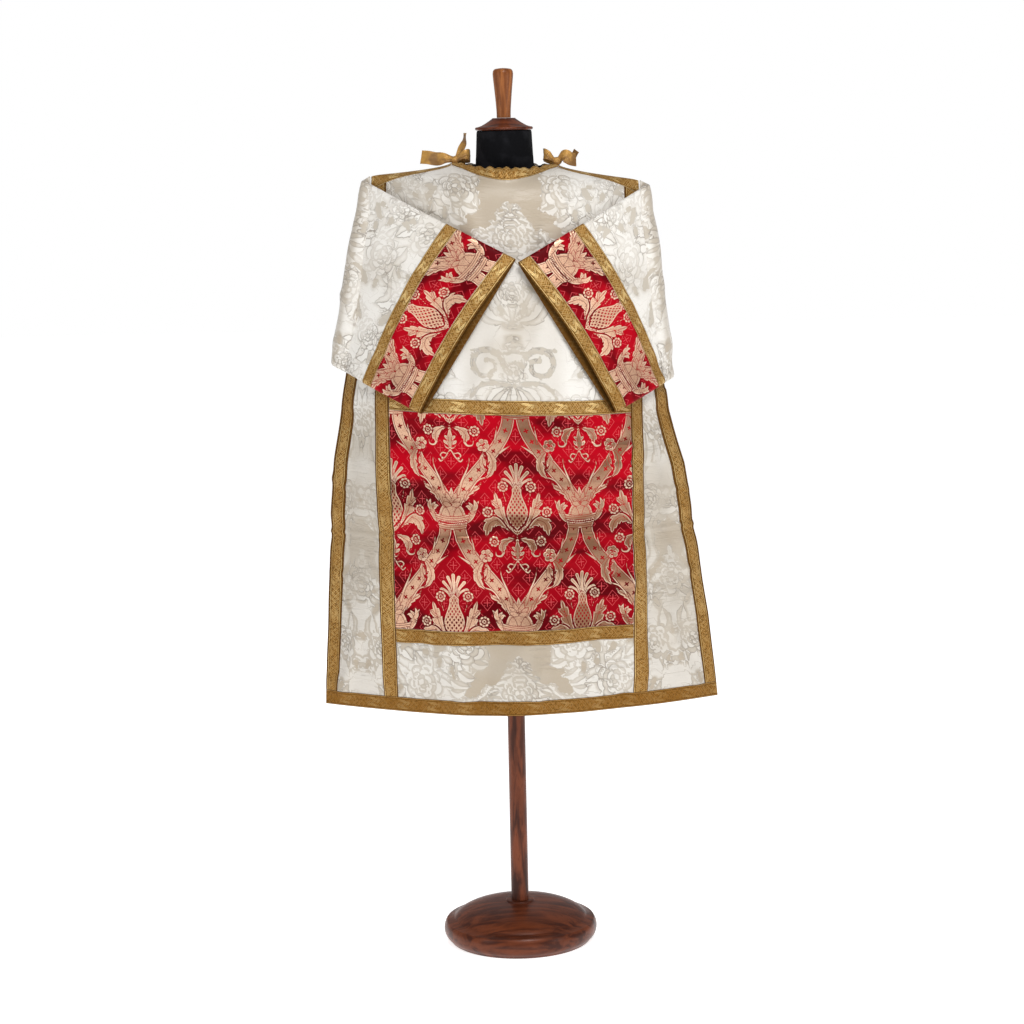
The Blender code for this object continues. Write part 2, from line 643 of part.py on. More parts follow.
def make_stand(collection):
    """Domed base, pole, neck cap and the finial that lifts the form."""
    base = [(0.0, BASE_HEIGHT), (BASE_COLLAR - 0.003, BASE_HEIGHT),
            (BASE_COLLAR, BASE_HEIGHT - 0.003)]
    base += arc_points((0.030, 0.030), (0.106, 0.044), 84, 18, 8)
    base += arc_points((BASE_RADIUS - 0.018, 0.024), (0.018, 0.022), 45, -60, 8)
    base += [(BASE_FOOT_RADIUS, 0.0), (0.0, 0.0)]
    turned("form_base", base, "mahogany", collection, 40)

    pole_length = TORSO_BOTTOM - BASE_HEIGHT - 2 * GAP
    mesh = bpy.data.meshes.new("form_pole")
    shape = bmesh.new()
    bmesh.ops.create_cone(shape, cap_ends=True, segments=32, radius1=POLE_RADIUS,
                          radius2=POLE_RADIUS, depth=pole_length)
    shape.to_mesh(mesh)
    shape.free()
    mesh.shade_smooth()
    mesh.set_sharp_from_angle(angle=math.radians(40))
    pole = add_mesh("form_pole", mesh, "mahogany", collection)
    pole.location = (0, 0, BASE_HEIGHT + GAP + pole_length / 2)

    foot = NECK_TOP + GAP
    plateau = foot + CAP_HEIGHT
    cap = [(0.0, plateau), (0.0205, plateau), (0.0225, plateau - 0.0015)]
    cap += [(0.036, plateau - 0.0105), (0.0500, plateau - 0.0165)]
    cap += arc_points((0.0515, foot + 0.0030), (0.0030, 0.0030), 70, -90, 6)
    cap += [(0.0, foot)]
    turned("form_cap", cap, "mahogany", collection)

    start = plateau + GAP
    crown = TOTAL_HEIGHT - 0.0125
    finial = arc_points((0.0, crown), (FINIAL_RADIUS - 0.001, TOTAL_HEIGHT - crown), 90, 25, 7)
    finial += [(FINIAL_RADIUS, crown), (FINIAL_RADIUS - 0.0005, crown - 0.008),
               (0.0158, crown - 0.038), (0.0136, start + 0.016), (0.0132, start),
               (0.0, start)]
    turned("form_finial", finial, "light_wood", collection, 28)


def main():
    clear_scene()
    model = make_collection("dalmatic_on_form")
    cutters = make_collection("tie_strips")
    front = make_panel("front", model)
    make_panel("back", model)
    rows = slice(0, UNDERARM_ROW + 1)
    make_sleeve("left", front[rows, 0], model)
    make_sleeve("right", front[rows, -1], model)
    for side in TIES:
        make_tie(side, model, cutters)
    make_torso(model)
    make_stand(model)


main()
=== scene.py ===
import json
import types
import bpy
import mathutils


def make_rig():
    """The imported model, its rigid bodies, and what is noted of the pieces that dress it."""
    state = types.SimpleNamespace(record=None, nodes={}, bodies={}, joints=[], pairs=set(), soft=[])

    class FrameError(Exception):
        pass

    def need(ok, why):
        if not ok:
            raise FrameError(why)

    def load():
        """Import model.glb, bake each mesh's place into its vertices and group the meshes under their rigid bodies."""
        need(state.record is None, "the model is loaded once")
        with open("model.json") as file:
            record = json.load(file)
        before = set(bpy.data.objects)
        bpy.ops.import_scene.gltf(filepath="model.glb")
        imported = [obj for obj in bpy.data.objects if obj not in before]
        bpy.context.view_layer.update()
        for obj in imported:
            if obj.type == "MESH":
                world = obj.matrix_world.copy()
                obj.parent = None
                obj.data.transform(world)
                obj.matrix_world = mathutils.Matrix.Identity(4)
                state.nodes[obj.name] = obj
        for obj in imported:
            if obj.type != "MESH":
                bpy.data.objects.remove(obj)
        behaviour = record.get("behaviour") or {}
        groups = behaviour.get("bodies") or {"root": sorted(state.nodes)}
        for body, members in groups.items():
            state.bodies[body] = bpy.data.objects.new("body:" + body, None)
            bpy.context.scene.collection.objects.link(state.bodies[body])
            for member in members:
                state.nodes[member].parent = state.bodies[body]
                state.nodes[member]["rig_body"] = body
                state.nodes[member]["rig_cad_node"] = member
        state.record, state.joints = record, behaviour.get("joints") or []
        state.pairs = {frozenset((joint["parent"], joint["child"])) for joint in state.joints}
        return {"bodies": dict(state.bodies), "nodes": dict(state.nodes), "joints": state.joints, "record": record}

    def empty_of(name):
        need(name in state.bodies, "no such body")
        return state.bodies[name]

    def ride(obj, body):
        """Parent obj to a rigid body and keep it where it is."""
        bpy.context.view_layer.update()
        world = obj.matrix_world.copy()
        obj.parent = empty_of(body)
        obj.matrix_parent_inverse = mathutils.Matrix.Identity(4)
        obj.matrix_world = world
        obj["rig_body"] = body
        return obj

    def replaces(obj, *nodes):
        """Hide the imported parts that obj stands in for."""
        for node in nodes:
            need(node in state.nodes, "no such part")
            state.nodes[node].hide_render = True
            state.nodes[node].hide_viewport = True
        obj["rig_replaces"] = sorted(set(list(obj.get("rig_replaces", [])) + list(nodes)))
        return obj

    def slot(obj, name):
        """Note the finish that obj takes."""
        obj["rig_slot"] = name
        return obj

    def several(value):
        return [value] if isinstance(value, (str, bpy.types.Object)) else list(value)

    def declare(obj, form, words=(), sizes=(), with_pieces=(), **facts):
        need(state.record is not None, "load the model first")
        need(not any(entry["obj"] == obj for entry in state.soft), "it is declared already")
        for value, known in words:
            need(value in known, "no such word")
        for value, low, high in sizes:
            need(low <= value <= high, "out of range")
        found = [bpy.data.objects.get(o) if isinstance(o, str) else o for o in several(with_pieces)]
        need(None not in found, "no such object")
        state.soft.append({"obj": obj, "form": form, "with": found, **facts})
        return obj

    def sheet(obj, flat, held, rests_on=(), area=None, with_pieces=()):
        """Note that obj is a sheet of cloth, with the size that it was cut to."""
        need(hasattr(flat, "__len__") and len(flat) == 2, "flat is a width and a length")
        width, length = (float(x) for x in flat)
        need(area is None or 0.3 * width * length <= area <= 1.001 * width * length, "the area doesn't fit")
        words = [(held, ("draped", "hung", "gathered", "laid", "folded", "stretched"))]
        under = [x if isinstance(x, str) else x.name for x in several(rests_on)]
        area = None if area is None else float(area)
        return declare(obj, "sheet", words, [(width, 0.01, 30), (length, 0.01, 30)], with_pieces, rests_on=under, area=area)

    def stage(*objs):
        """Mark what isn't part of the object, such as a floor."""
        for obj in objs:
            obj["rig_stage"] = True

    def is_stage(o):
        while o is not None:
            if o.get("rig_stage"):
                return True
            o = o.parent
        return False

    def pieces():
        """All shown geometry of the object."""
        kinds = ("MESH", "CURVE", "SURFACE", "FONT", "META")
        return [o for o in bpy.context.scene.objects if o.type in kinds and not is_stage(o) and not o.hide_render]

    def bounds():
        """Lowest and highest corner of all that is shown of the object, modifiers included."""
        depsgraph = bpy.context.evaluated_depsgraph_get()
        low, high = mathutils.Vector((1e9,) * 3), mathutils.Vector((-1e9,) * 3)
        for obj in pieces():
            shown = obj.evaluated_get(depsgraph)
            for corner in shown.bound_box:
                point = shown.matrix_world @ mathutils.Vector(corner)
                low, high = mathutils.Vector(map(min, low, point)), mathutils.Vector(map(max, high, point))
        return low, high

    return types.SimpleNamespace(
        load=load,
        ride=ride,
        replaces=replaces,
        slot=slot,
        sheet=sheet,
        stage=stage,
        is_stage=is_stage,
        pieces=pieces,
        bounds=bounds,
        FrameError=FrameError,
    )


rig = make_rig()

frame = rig.load()

import itertools
import json
import math
from types import SimpleNamespace

import bpy
import numpy as np
from mathutils import Matrix, Vector

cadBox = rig.bounds()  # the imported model's own box
print("frame loaded:", len(frame["nodes"]), "nodes")

cameraView = {
    "place": (0, -4.95, 1.6),
    "aimHeight": 0.8474,  # where the view's middle crosses the form's axis
    "roll": -1.2,  # degrees
    "lens": 91.4685,
    "sensor": 36,
}
studio = {
    "background": (1, 1, 1),
    "backgroundStrength": 0.33,  # as light
    "backgroundShown": 1,  # as seen
    "floorSize": 30,
    "floorColour": (0.8, 0.8, 0.8),
    "floorShade": 0.985,
    "floorGlow": 0.78,
    # name, place, aim, width, height, watts
    "lights": (
        ("keyLight", (0.6, -2.3, 3.4), (0, 0, 1.15), 1.1, 0.9, 58),
        ("sideLight", (-2.9, -2.2, 1.9), (0, 0, 1), 0.8, 1.8, 12),
        ("fillLight", (3, -2, 1.3), (0, 0, 1), 0.8, 1.8, 13),
        ("backLight", (-0.8, 3.6, 2.9), (0, 0, 1.1), 1.6, 1.2, 60),
    ),
}


# Small helpers

tiny = 1e-12


def metres(lengths):
    return np.asarray(lengths, float) / 1000


def rise(value, start, run):
    # 0 up to the start, then smoothly up to 1
    share = np.clip((value - start) / run, 0, 1)
    return share * share * (3 - 2 * share)


def fall(value, start, run):
    return 1 - rise(value, start, run)


def bell(value, half):
    return np.exp(-(value / half) ** 2)


def quarterRound(share):
    return np.sqrt(1 - (1 - np.clip(share, 0, 1)) ** 2)


def unit(vectors):
    return vectors / np.maximum(np.linalg.norm(vectors, axis=-1, keepdims=True), tiny)


def mix(share, first, second):
    return first + (second - first) * share


def spaced(start, end, step):
    count = max(2, int(round(abs(end - start) / step)) + 1)
    return np.linspace(start, end, count)


def runLength(points):
    # how far along its line each point is
    steps = np.linalg.norm(np.diff(points, axis=0), axis=1)
    return np.concatenate([[0], np.cumsum(steps)])


def curveThrough(points, count):
    # Catmull-Rom curve through a few points
    points = np.array(points, float)
    ends = np.concatenate([2 * points[:1] - points[1:2], points, 2 * points[-1:] - points[-2:-1]])
    spot = np.linspace(0, len(points) - 1, count)
    first = np.minimum(spot.astype(int), len(points) - 2)
    t = (spot - first)[:, None]
    p0, p1, p2, p3 = (ends[first + k] for k in range(4))
    return 0.5 * (2 * p1 + (p2 - p0) * t + (2 * p0 - 5 * p1 + 4 * p2 - p3) * t ** 2
                  + (3 * p1 - p0 - 3 * p2 + p3) * t ** 3)


# The garment's own surfaces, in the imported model's sizes

cloth = {
    "wall": 0.0018,
    "trimWall": 0.0008,
    "gap": 0.0003,
    "free": 0.0004,  # between neighbouring strips
    "grid": 0.003,  # spacing of the fine surface
    "lampasGrid": 0.0017,
    "braidGrid": 0.0045,
    "hemShare": 0.0115,  # of half the width, between the hem galloon's columns
    "sideShare": 0.19,  # of a side galloon, between its columns
    "sideStart": 0.006,  # of the side galloons, under the armhole
    "bandShort": 0.001,  # by which the neck and shoulder galloons are narrower
    "coarser": {"front": 1, "back": 1.15},
    "lampasCoarser": {"front": 1, "back": 1.2},
}
cloth["lift"] = cloth["wall"] / 2 + cloth["gap"] + cloth["trimWall"] / 2

body = {
    "hem": 0.49,
    "neckHalfWidth": 0.1,
    "neckDepth": {"front": 0.066, "back": 0.056},
    "neckRound": 1.5,
    "neckHeight": 1.505,
    "neckSideHeight": 1.511,
    "shoulderDrop": 0.027,
    "shoulderReach": 0.155,
    "shoulderCurve": 0.6,
    "shoulderTurn": 0.066,
    "shoulderEnd": 0.2507,  # of the shoulder galloons, from the middle
    "lean": 0.036,
    "leanLow": 0.66,
    "leanHigh": 1.06,
    "galloon": 0.027,
    "clavusInner": 0.2225,
    "sideGalloon": 0.024,
    "apparelTop": 1.053,
    "apparelBottom": 0.651,
    "underarm": 1.14,
}
body["clavusOuter"] = body["clavusInner"] + body["galloon"]
sections = {  # sizes of the body at a few heights, in millimetres
    "height": (490, 650, 850, 950, 1050, 1140, 1200, 1300, 1400, 1520),
    "left": (365, 357, 346, 336, 320, 304, 289, 270, 256, 251.5),
    "right": (388, 372, 344, 330, 304, 286, 276, 262, 254.5, 251.5),
    "front": (190, 186, 178, 173, 166, 156, 149, 135, 114, 100),
    "back": (150, 147, 141, 138, 133, 128, 123, 112, 96, 84),
    "edge": (48, 41, 31, 24, 14, 6, 8, 9, 8, 6),
    "square": (1600, 2100, 2300, 2400, 2400, 2400, 2400, 2400, 2400, 2400),  # thousandths
}


def section(column, height):
    return np.interp(height, metres(sections["height"]), metres(sections[column]))


def edgeOf(x, height):
    return np.where(np.asarray(x) < 0, section("left", height), section("right", height))


def shoulderHeight(x):
    x = np.abs(x)
    half = body["neckHalfWidth"]
    neck = mix((x / half) ** 2, body["neckHeight"], body["neckSideHeight"])
    reach = np.clip((x - half) / body["shoulderReach"], 0, None)
    slope = body["neckSideHeight"] - body["shoulderDrop"] * reach ** body["shoulderCurve"]
    return np.where(x < half, neck, slope)


def lean(x, height):
    return -body["lean"] * x * rise(height, body["leanLow"], body["leanHigh"] - body["leanLow"])


def depth(face, x, height):
    share = np.clip(np.abs(x) / edgeOf(x, height), 0, 1)
    full = mix(1 - share ** section("square", height), section("edge", height),
               section(face, height))
    neckShare = np.clip(np.abs(x) / body["neckHalfWidth"], 0, 1)
    neckline = body["neckDepth"][face] * (1 - neckShare ** 2) ** body["neckRound"]
    start = np.maximum(neckline, cloth["gap"] / 2)
    turn = quarterRound((shoulderHeight(x) - height) / body["shoulderTurn"])
    return mix(turn, start, np.maximum(full, start))


# A place down the cloth is its "drop": measured over the shoulder turn, then by height
dropTurn, dropLevel, levelHeight = 0.1, 0.16, 1.36
seamTiltRoom, firstRow, seamRow = 2, 0.013, 0.004


def dropAt(height):
    return dropLevel + levelHeight - height


hemDrop = dropAt(body["hem"])


def hangColumn(face, xOfHeight, drops):
    # points at these drops along one column, and how far down the length of cloth each is
    top = float(shoulderHeight(xOfHeight(np.array(body["neckHeight"]))))
    turn = top - body["shoulderTurn"] * (1 - np.cos(np.linspace(0, math.pi / 2, 60)))
    heights = np.concatenate([turn, np.linspace(turn[-1], body["hem"], 120)[1:]])
    y = depth(face, xOfHeight(heights), heights)
    length = runLength(np.stack([y, heights], axis=1))
    share = np.clip((drops - dropTurn) / (dropLevel - dropTurn), 0, 1)
    z = mix(share, np.interp(np.minimum(drops, dropTurn), length, heights), levelHeight)
    z = np.where(drops > dropLevel, levelHeight - (drops - dropLevel), z)
    x = xOfHeight(z)
    yAt = np.interp(-z, -heights, y)
    tilt = (heights[0] - np.interp(firstRow, length, heights)) / firstRow
    room = cloth["gap"] / 2 + seamTiltRoom * tilt * cloth["wall"] / 2
    yAt = np.maximum(yAt, room * np.clip(1 - drops / seamRow, 0, 1))
    run = np.interp(-z, -heights, length) - np.interp(-levelHeight, -heights, length)
    down = dropLevel + np.where(z > levelHeight, run, levelHeight - z)
    points = np.stack([x, -yAt if face == "front" else yAt, z + lean(x, z)], axis=1)
    return points, down


def acrossCloth(face, x, level):
    # distance from the centre line, measured along the cloth at this height
    found = np.zeros_like(x)
    for side in (-1, 1):
        table = side * np.linspace(0, 1.02, 160) * float(edgeOf(side, level))
        length = runLength(np.stack([table, depth(face, table, level)], axis=1))
        here = x * side > 0
        found[here] = side * np.interp(np.abs(x[here]), np.abs(table), length)
    return found


def hangGrid(face, columns, drops):
    # (points, flat coordinates) of a grid on a panel: columns are functions of height
    made = [hangColumn(face, column, drops) for column in columns]
    points = np.stack([each[0] for each in made], axis=1)
    flat = np.zeros(points.shape)
    for row, level in enumerate(np.minimum(levelHeight, levelHeight + dropLevel - drops)):
        flat[row, :, 0] = acrossCloth(face, points[row, :, 0], level)
    flat[..., 1] = np.stack([each[1] for each in made], axis=1)
    return points, flat


def shareColumn(share):
    # a column that stays at this share of the width, negative to the left
    return lambda height: share * edgeOf(share, height)


def fixedColumns(start, end, step):
    return [lambda height, x=x: x + 0 * np.asarray(height) for x in spaced(start, end, step)]


def sideBandColumn(side, share):
    # a column of the side galloon: share 0 at the panel's edge, 1 at the band's inner side
    def xOfHeight(height):
        edge = edgeOf(side, height)
        spare = np.maximum(edge - body["clavusOuter"], 1e-4)
        return side * (edge - share * np.minimum(body["sideGalloon"], spare / 2))
    return xOfHeight


def gridNormals(points, wrap=False, flip=False):
    across = (np.roll(points, -1, axis=1) - np.roll(points, 1, axis=1) if wrap
              else np.gradient(points, axis=1))
    return unit(np.cross(np.gradient(points, axis=0), across)) * (-1 if flip else 1)


# Meshes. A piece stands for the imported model's node of its own name.

def nodeName(name):
    return "".join("_" + c.lower() if c.isupper() else c for c in name)


def quads(numbers, back=False):
    faces = np.stack([numbers[:-1, :-1], numbers[1:, :-1], numbers[1:, 1:], numbers[:-1, 1:]],
                     axis=-1).reshape(-1, 4)
    return (faces[:, [0, 3, 2, 1]] if back else faces).tolist()


def gridNumbers(rows, columns, start=0, wrap=False):
    numbers = start + np.arange(rows * columns).reshape(rows, columns)
    return np.concatenate([numbers, numbers[:, :1]], axis=1) if wrap else numbers


def sheetFaces(rows, columns, rowStep, columnStep, wrap=False, flip=False):
    # a fine outer grid, a coarser inner one behind it, and the rims between them
    pickRows, pickColumns = list(range(0, rows, rowStep)), list(range(0, columns, columnStep))
    for picks, last in ((pickRows, rows - 1), (pickColumns, columns - 1)):
        if picks[-1] != last and not (wrap and picks is pickColumns):
            picks.append(last)
    outer = gridNumbers(rows, columns, 0, wrap)
    inner = gridNumbers(len(pickRows), len(pickColumns), rows * columns, wrap)
    faces = quads(outer) + quads(inner, True)
    rims = [(pickColumns + [columns] * wrap, (outer[0], inner[0], 1), (outer[-1], inner[-1], -1))]
    if not wrap:
        rims.append((pickRows, (outer[:, 0], inner[:, 0], -1), (outer[:, -1], inner[:, -1], 1)))
    for picks, *pair in rims:
        for n in range(len(picks) - 1):
            for fine, rough, way in pair:
                line = fine[picks[n]:picks[n + 1] + 1][::way].tolist()
                faces.append(line + rough[[n + 1, n]][::way].tolist())
    return [face[::-1] for face in faces] if flip else faces, pickRows, pickColumns


def meshPiece(name, slot, vertices, faces, material, fields, sharp):
    mesh = bpy.data.meshes.new(name)
    mesh.from_pydata(np.asarray(vertices, float).tolist(), [], faces)
    for key, values in fields.items():
        layer = mesh.attributes.new(key, "FLOAT_VECTOR", "POINT")
        layer.data.foreach_set("vector", np.asarray(values, np.float32).ravel())
    mesh.shade_smooth()
    mesh.set_sharp_from_angle(angle=math.radians(sharp))
    mesh.materials.append(finishes[material])
    piece = bpy.data.objects.new(name, mesh)
    bpy.context.scene.collection.objects.link(piece)
    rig.ride(piece, "root")
    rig.replaces(piece, nodeName(name))
    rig.slot(piece, slot)


sheetKinds = {  # slot, wall, and the figure's fields on the far side
    "damask": ("ivory_damask", "wall", (0.05, 0.05, 0)),
    "lampas": ("crimson_lampas", "trimWall", (0.05, 0.05, 0.05)),
    "braid": ("gold_galloon", "trimWall", None),
}


def sheetPiece(name, kind, middle, normals, fields, wrap=False, flip=False, steps=(4, 4)):
    rows, columns = middle.shape[:2]
    slot, wall, far = sheetKinds[kind]
    half = cloth[wall] / 2
    faces, pickRows, pickColumns = sheetFaces(rows, columns, *steps, wrap, flip)
    every = {}
    for key, values in fields.items():
        back = values[pickRows][:, pickColumns]
        if far and key == "weave":
            back = np.zeros_like(back) + far
        every[key] = np.concatenate([values.reshape(-1, 3), back.reshape(-1, 3)])
    inner = (middle - normals * half)[pickRows][:, pickColumns]
    points = np.concatenate([(middle + normals * half).reshape(-1, 3), inner.reshape(-1, 3)])
    meshPiece(name, slot, points, faces, kind, every, 50)


# Woven figures, drawn shape over shape in millimetres, as fields at the cloth's points:
# "figure" is the distance outside the figured part, "inner" changes sign at every inner line,
# and "covered" is the distance outside all that was drawn.

farAway = 0.05  # metres, where nothing is near


def startPattern(views, period):
    pattern = {key: np.full(len(views[0][0]), farAway) for key in ("figure", "inner", "covered")}
    return {**pattern, "views": views, "period": period}


def stamp(pattern, x, y, reach, shape, cut=False):
    x, y, reach = metres((x, y, reach))
    half = pattern["period"] / 2
    for viewX, viewY in pattern["views"]:
        dx = viewX - x
        dy = (viewY - y + half) % pattern["period"] - half
        pick = np.flatnonzero((np.abs(dx) < reach) & (np.abs(dy) < reach))
        distance, sign, line = shape(dx[pick], dy[pick])
        figure, old, covered = (pattern[key][pick] for key in ("figure", "inner", "covered"))
        inside = sign * np.minimum(np.abs(distance), line)
        beside = np.where(distance < np.abs(old), -sign * distance, old)
        pattern["inner"][pick] = np.where(distance < 0, inside, beside)
        pattern["figure"][pick] = (np.maximum(figure, -distance) if cut
                                   else np.minimum(figure, distance))
        pattern["covered"][pick] = np.minimum(covered, distance)


def nearLine(line, dx, dy):
    # distance to a line of points, share of its length, and the side of it
    steps = np.hypot(*np.diff(line, axis=0).T)
    starts = np.concatenate([[0], np.cumsum(steps)]) / steps.sum()
    away, share, side = np.ones_like(dx), np.zeros_like(dx), np.ones_like(dx)
    for n in range(len(line) - 1):
        ax, ay = line[n]
        bx, by = line[n + 1] - line[n]
        t = np.clip(((dx - ax) * bx + (dy - ay) * by) / max(steps[n] ** 2, tiny), 0, 1)
        here = np.hypot(dx - ax - t * bx, dy - ay - t * by)
        closer = here < away
        away = np.where(closer, here, away)
        share = np.where(closer, starts[n] + t * (starts[n + 1] - starts[n]), share)
        cross = (dx - ax) * by - (dy - ay) * bx
        side = np.where(closer, np.where(cross < 0, -1, 1), side)
    return away, share, side


# Each shape gives, at points from its place: the distance outside it, a sign, and the
# distance to its nearest inner line

def oval(halfX, halfY, sign=-1, turn=0):
    rx, ry = metres((halfX, halfY))

    def shape(dx, dy):
        x = dx * math.cos(turn) + dy * math.sin(turn)
        y = dy * math.cos(turn) - dx * math.sin(turn)
        near = np.hypot(x / rx, y / ry)
        slope = np.maximum(np.hypot(x / rx ** 2, y / ry ** 2), 1e-6)
        distance = np.where(near > 0.05, near * (near - 1) / slope, -min(rx, ry))
        return distance, sign, np.ones_like(dx)
    return shape


def frond(points, width, teeth=0, bite=0.35, fullest=0.45, veins=True):
    # a leaf along a curved midrib
    line = curveThrough(metres(points), 6 * len(points))
    total = np.hypot(*np.diff(line, axis=0).T).sum()
    power = math.log(0.5) / math.log(fullest)

    def shape(dx, dy):
        away, share, side = nearLine(line, dx, dy)
        half = width / 1000 * np.sin(math.pi * share ** power)
        if teeth:
            lobe = ((share - 0.5 * away / total) * teeth) % 1
            half = half * (1 - bite * (1 - lobe) ** 1.5)
        return (away - half, side, away) if veins else (away - half, -1, np.ones_like(dx))
    return shape


def outline(points, sign=-1):
    # a closed smooth shape
    points = metres(points).tolist()
    ring = curveThrough(points[-2:] + points + points[:2], 6 * (len(points) + 4))
    places = np.linspace(0, len(points) + 3, len(ring))
    ring = ring[(places >= 2) & (places < len(points) + 2)]

    def shape(dx, dy):
        away = nearLine(np.concatenate([ring, ring[:1]]), dx, dy)[0]
        inside = np.zeros(len(dx), bool)
        for (ax, ay), (bx, by) in zip(ring, np.roll(ring, -1, axis=0)):
            crossed = (ay > dy) != (by > dy)
            inside ^= crossed & (dx < ax + (bx - ax) * (dy - ay) / (by - ay + tiny))
        return np.where(inside, -away, away), sign, np.ones_like(dx)
    return shape


def petals(radius, count, turn, notch):
    # a ring of rounded petals, alternately signed so that a line shows between them
    def shape(dx, dy):
        angle = (np.arctan2(dy, dx) - turn) * count / (2 * math.pi)
        number = np.floor(angle)
        within = angle - number
        edge = radius / 1000 * (1 - notch + notch * np.sin(math.pi * within) ** 0.5)
        away = np.hypot(dx, dy)
        gap = away * np.sin(np.minimum(within, 1 - within) * 2 * math.pi / count)
        return away - edge, np.where(number % 2 == 0, 1, -1), np.abs(gap)
    return shape


def stem(points, halfWidth, endWidth=None):
    # a line of changing width
    line = curveThrough(metres(points), 5 * len(points))
    start, end = metres((halfWidth, halfWidth if endWidth is None else endWidth))

    def shape(dx, dy):
        away, share, _ = nearLine(line, dx, dy)
        return away - start - share * (end - start), -1, np.ones_like(dx)
    return shape


def flower(pattern, x, y, radius, counts=(8, 7, 5, 3), turn=0):
    # rings of petals, each smaller than the last and turned from it
    for number, (count, share) in enumerate(zip(counts, (1, 0.72, 0.48, 0.27))):
        stamp(pattern, x, y, radius * 1.4,
              petals(radius * share, count, turn + 0.55 * number, 0.22))


# Floral damask of the body and sleeves

damask = {
    "axis": 0.008,  # the repeat's middle line, from the panel's centre
    "halfWidth": 0.315,  # of the repeat, which is mirrored at both sides
    "repeat": 0.845,
    # in millimetres out from the mirror line and down: place, radius, turn of the leaves
    # round it (radians), their reach (radii)
    "peonies": (
        (99.5, 49, 39, 0.5, 1.5), (190, 32, 24, 1.2, 1.7), (268, 64, 33, 0.2, 1.8),
        (186, 128, 38, 0.9, 1.7), (112, 215, 34, 0.1, 1.8), (0, 246, 24, 0.3, 1.3),
        (272, 196, 36, 1.4, 1.8), (190, 275, 30, 0.6, 2), (286, 318, 30, 0.3, 2),
        (136, 352, 26, 1.1, 2), (226, 398, 37, 0.8, 1.8), (120, 462, 34, 0.3, 1.9),
        (296, 492, 30, 0.1, 2), (34, 540, 33, 0.9, 1.8), (206, 548, 36, 1.3, 1.8),
        (112, 622, 36, 0.5, 1.9), (270, 636, 34, 0.7, 1.8), (0, 688, 32, 0.2, 1.7),
        (188, 706, 38, 1, 1.8), (84, 752, 30, 0.4, 1.7), (150, 806, 30, 0.2, 1.8),
        (236, 806, 34, 1.2, 1.8)),
    # long curled leaves: start, middle, tip, half width
    "sprays": (
        ((6, 296), (46, 286), (70, 236), 14), ((4, 290), (20, 262), (46, 214), 10),
        ((150, 160), (128, 168), (100, 152), 14), ((225, 150), (232, 196), (196, 216), 16),
        ((225, 300), (258, 268), (246, 228), 13), ((60, 470), (24, 478), (4, 446), 14),
        ((165, 430), (176, 384), (150, 392), 11), ((262, 440), (270, 540), (246, 596), 17),
        ((160, 500), (156, 560), (120, 572), 15), ((66, 600), (30, 612), (6, 590), 13),
        ((152, 650), (140, 702), (110, 712), 14), ((232, 676), (250, 730), (232, 770), 15),
        ((34, 704), (50, 740), (30, 772), 12), ((120, 760), (116, 800), (86, 812), 14),
        ((50, 800), (30, 806), (14, 780), 10)),
    # gaps of bare satin: centre, half sizes, turn
    "gaps": (
        (150, 60, 18, 7.5, 0.9), (222, 50, 15, 6, -0.5), (146, 178, 24, 9, 0.3),
        (232, 232, 24, 7.5, -0.7), (152, 238, 19.5, 7.5, 1.1), (238, 345, 21, 7.5, 0.2),
        (168, 470, 22.5, 9, -0.9), (258, 452, 19.5, 7.5, 0.6), (78, 560, 21, 7.5, 0.2),
        (160, 600, 22.5, 7.5, 1.2), (228, 690, 18, 9, -0.4), (140, 762, 21, 7.5, 0.8),
        (196, 776, 19.5, 7.5, -0.2), (44, 650, 19.5, 7.5, 0.9)),
    # bare satin round the two pointed heads, the tiers under them, leaf tips, a scroll
    "middleSatin": (
        (-30, -50), (44, -52), (62, -26), (56, 14), (60, 52), (58, 86), (82, 100), (106, 124),
        (112, 142), (94, 150), (74, 142), (60, 126), (-30, 124)),
    "outerSatin": (
        (20, -20), (-28, -14), (-36, 20), (-30, 48), (-58, 78), (-70, 98), (-50, 102), (20, 90)),
    "middleTiers": (
        (82, 9, 7), (94, 17, 9), (108, 29, 10), (122, 42, 11), (138, 60, 12), (156, 78, 14)),
    "outerTiers": ((738, 10, 7), (752, 20, 9), (768, 34, 11), (786, 50, 12)),
    "tips": (
        (115, 98, -36, 16, 10), (128, 116, -38, 12, 10), (94, 78, -40, 10, 9),
        (132, 136, -34, -2, 9)),
    "scroll": (
        (-46, -4), (-30, -2), (-24, -18), (-4, -30), (18, -26), (28, -6), (18, 14), (0, 17),
        (-13, 8), (-12, -8), (2, -12)),
}


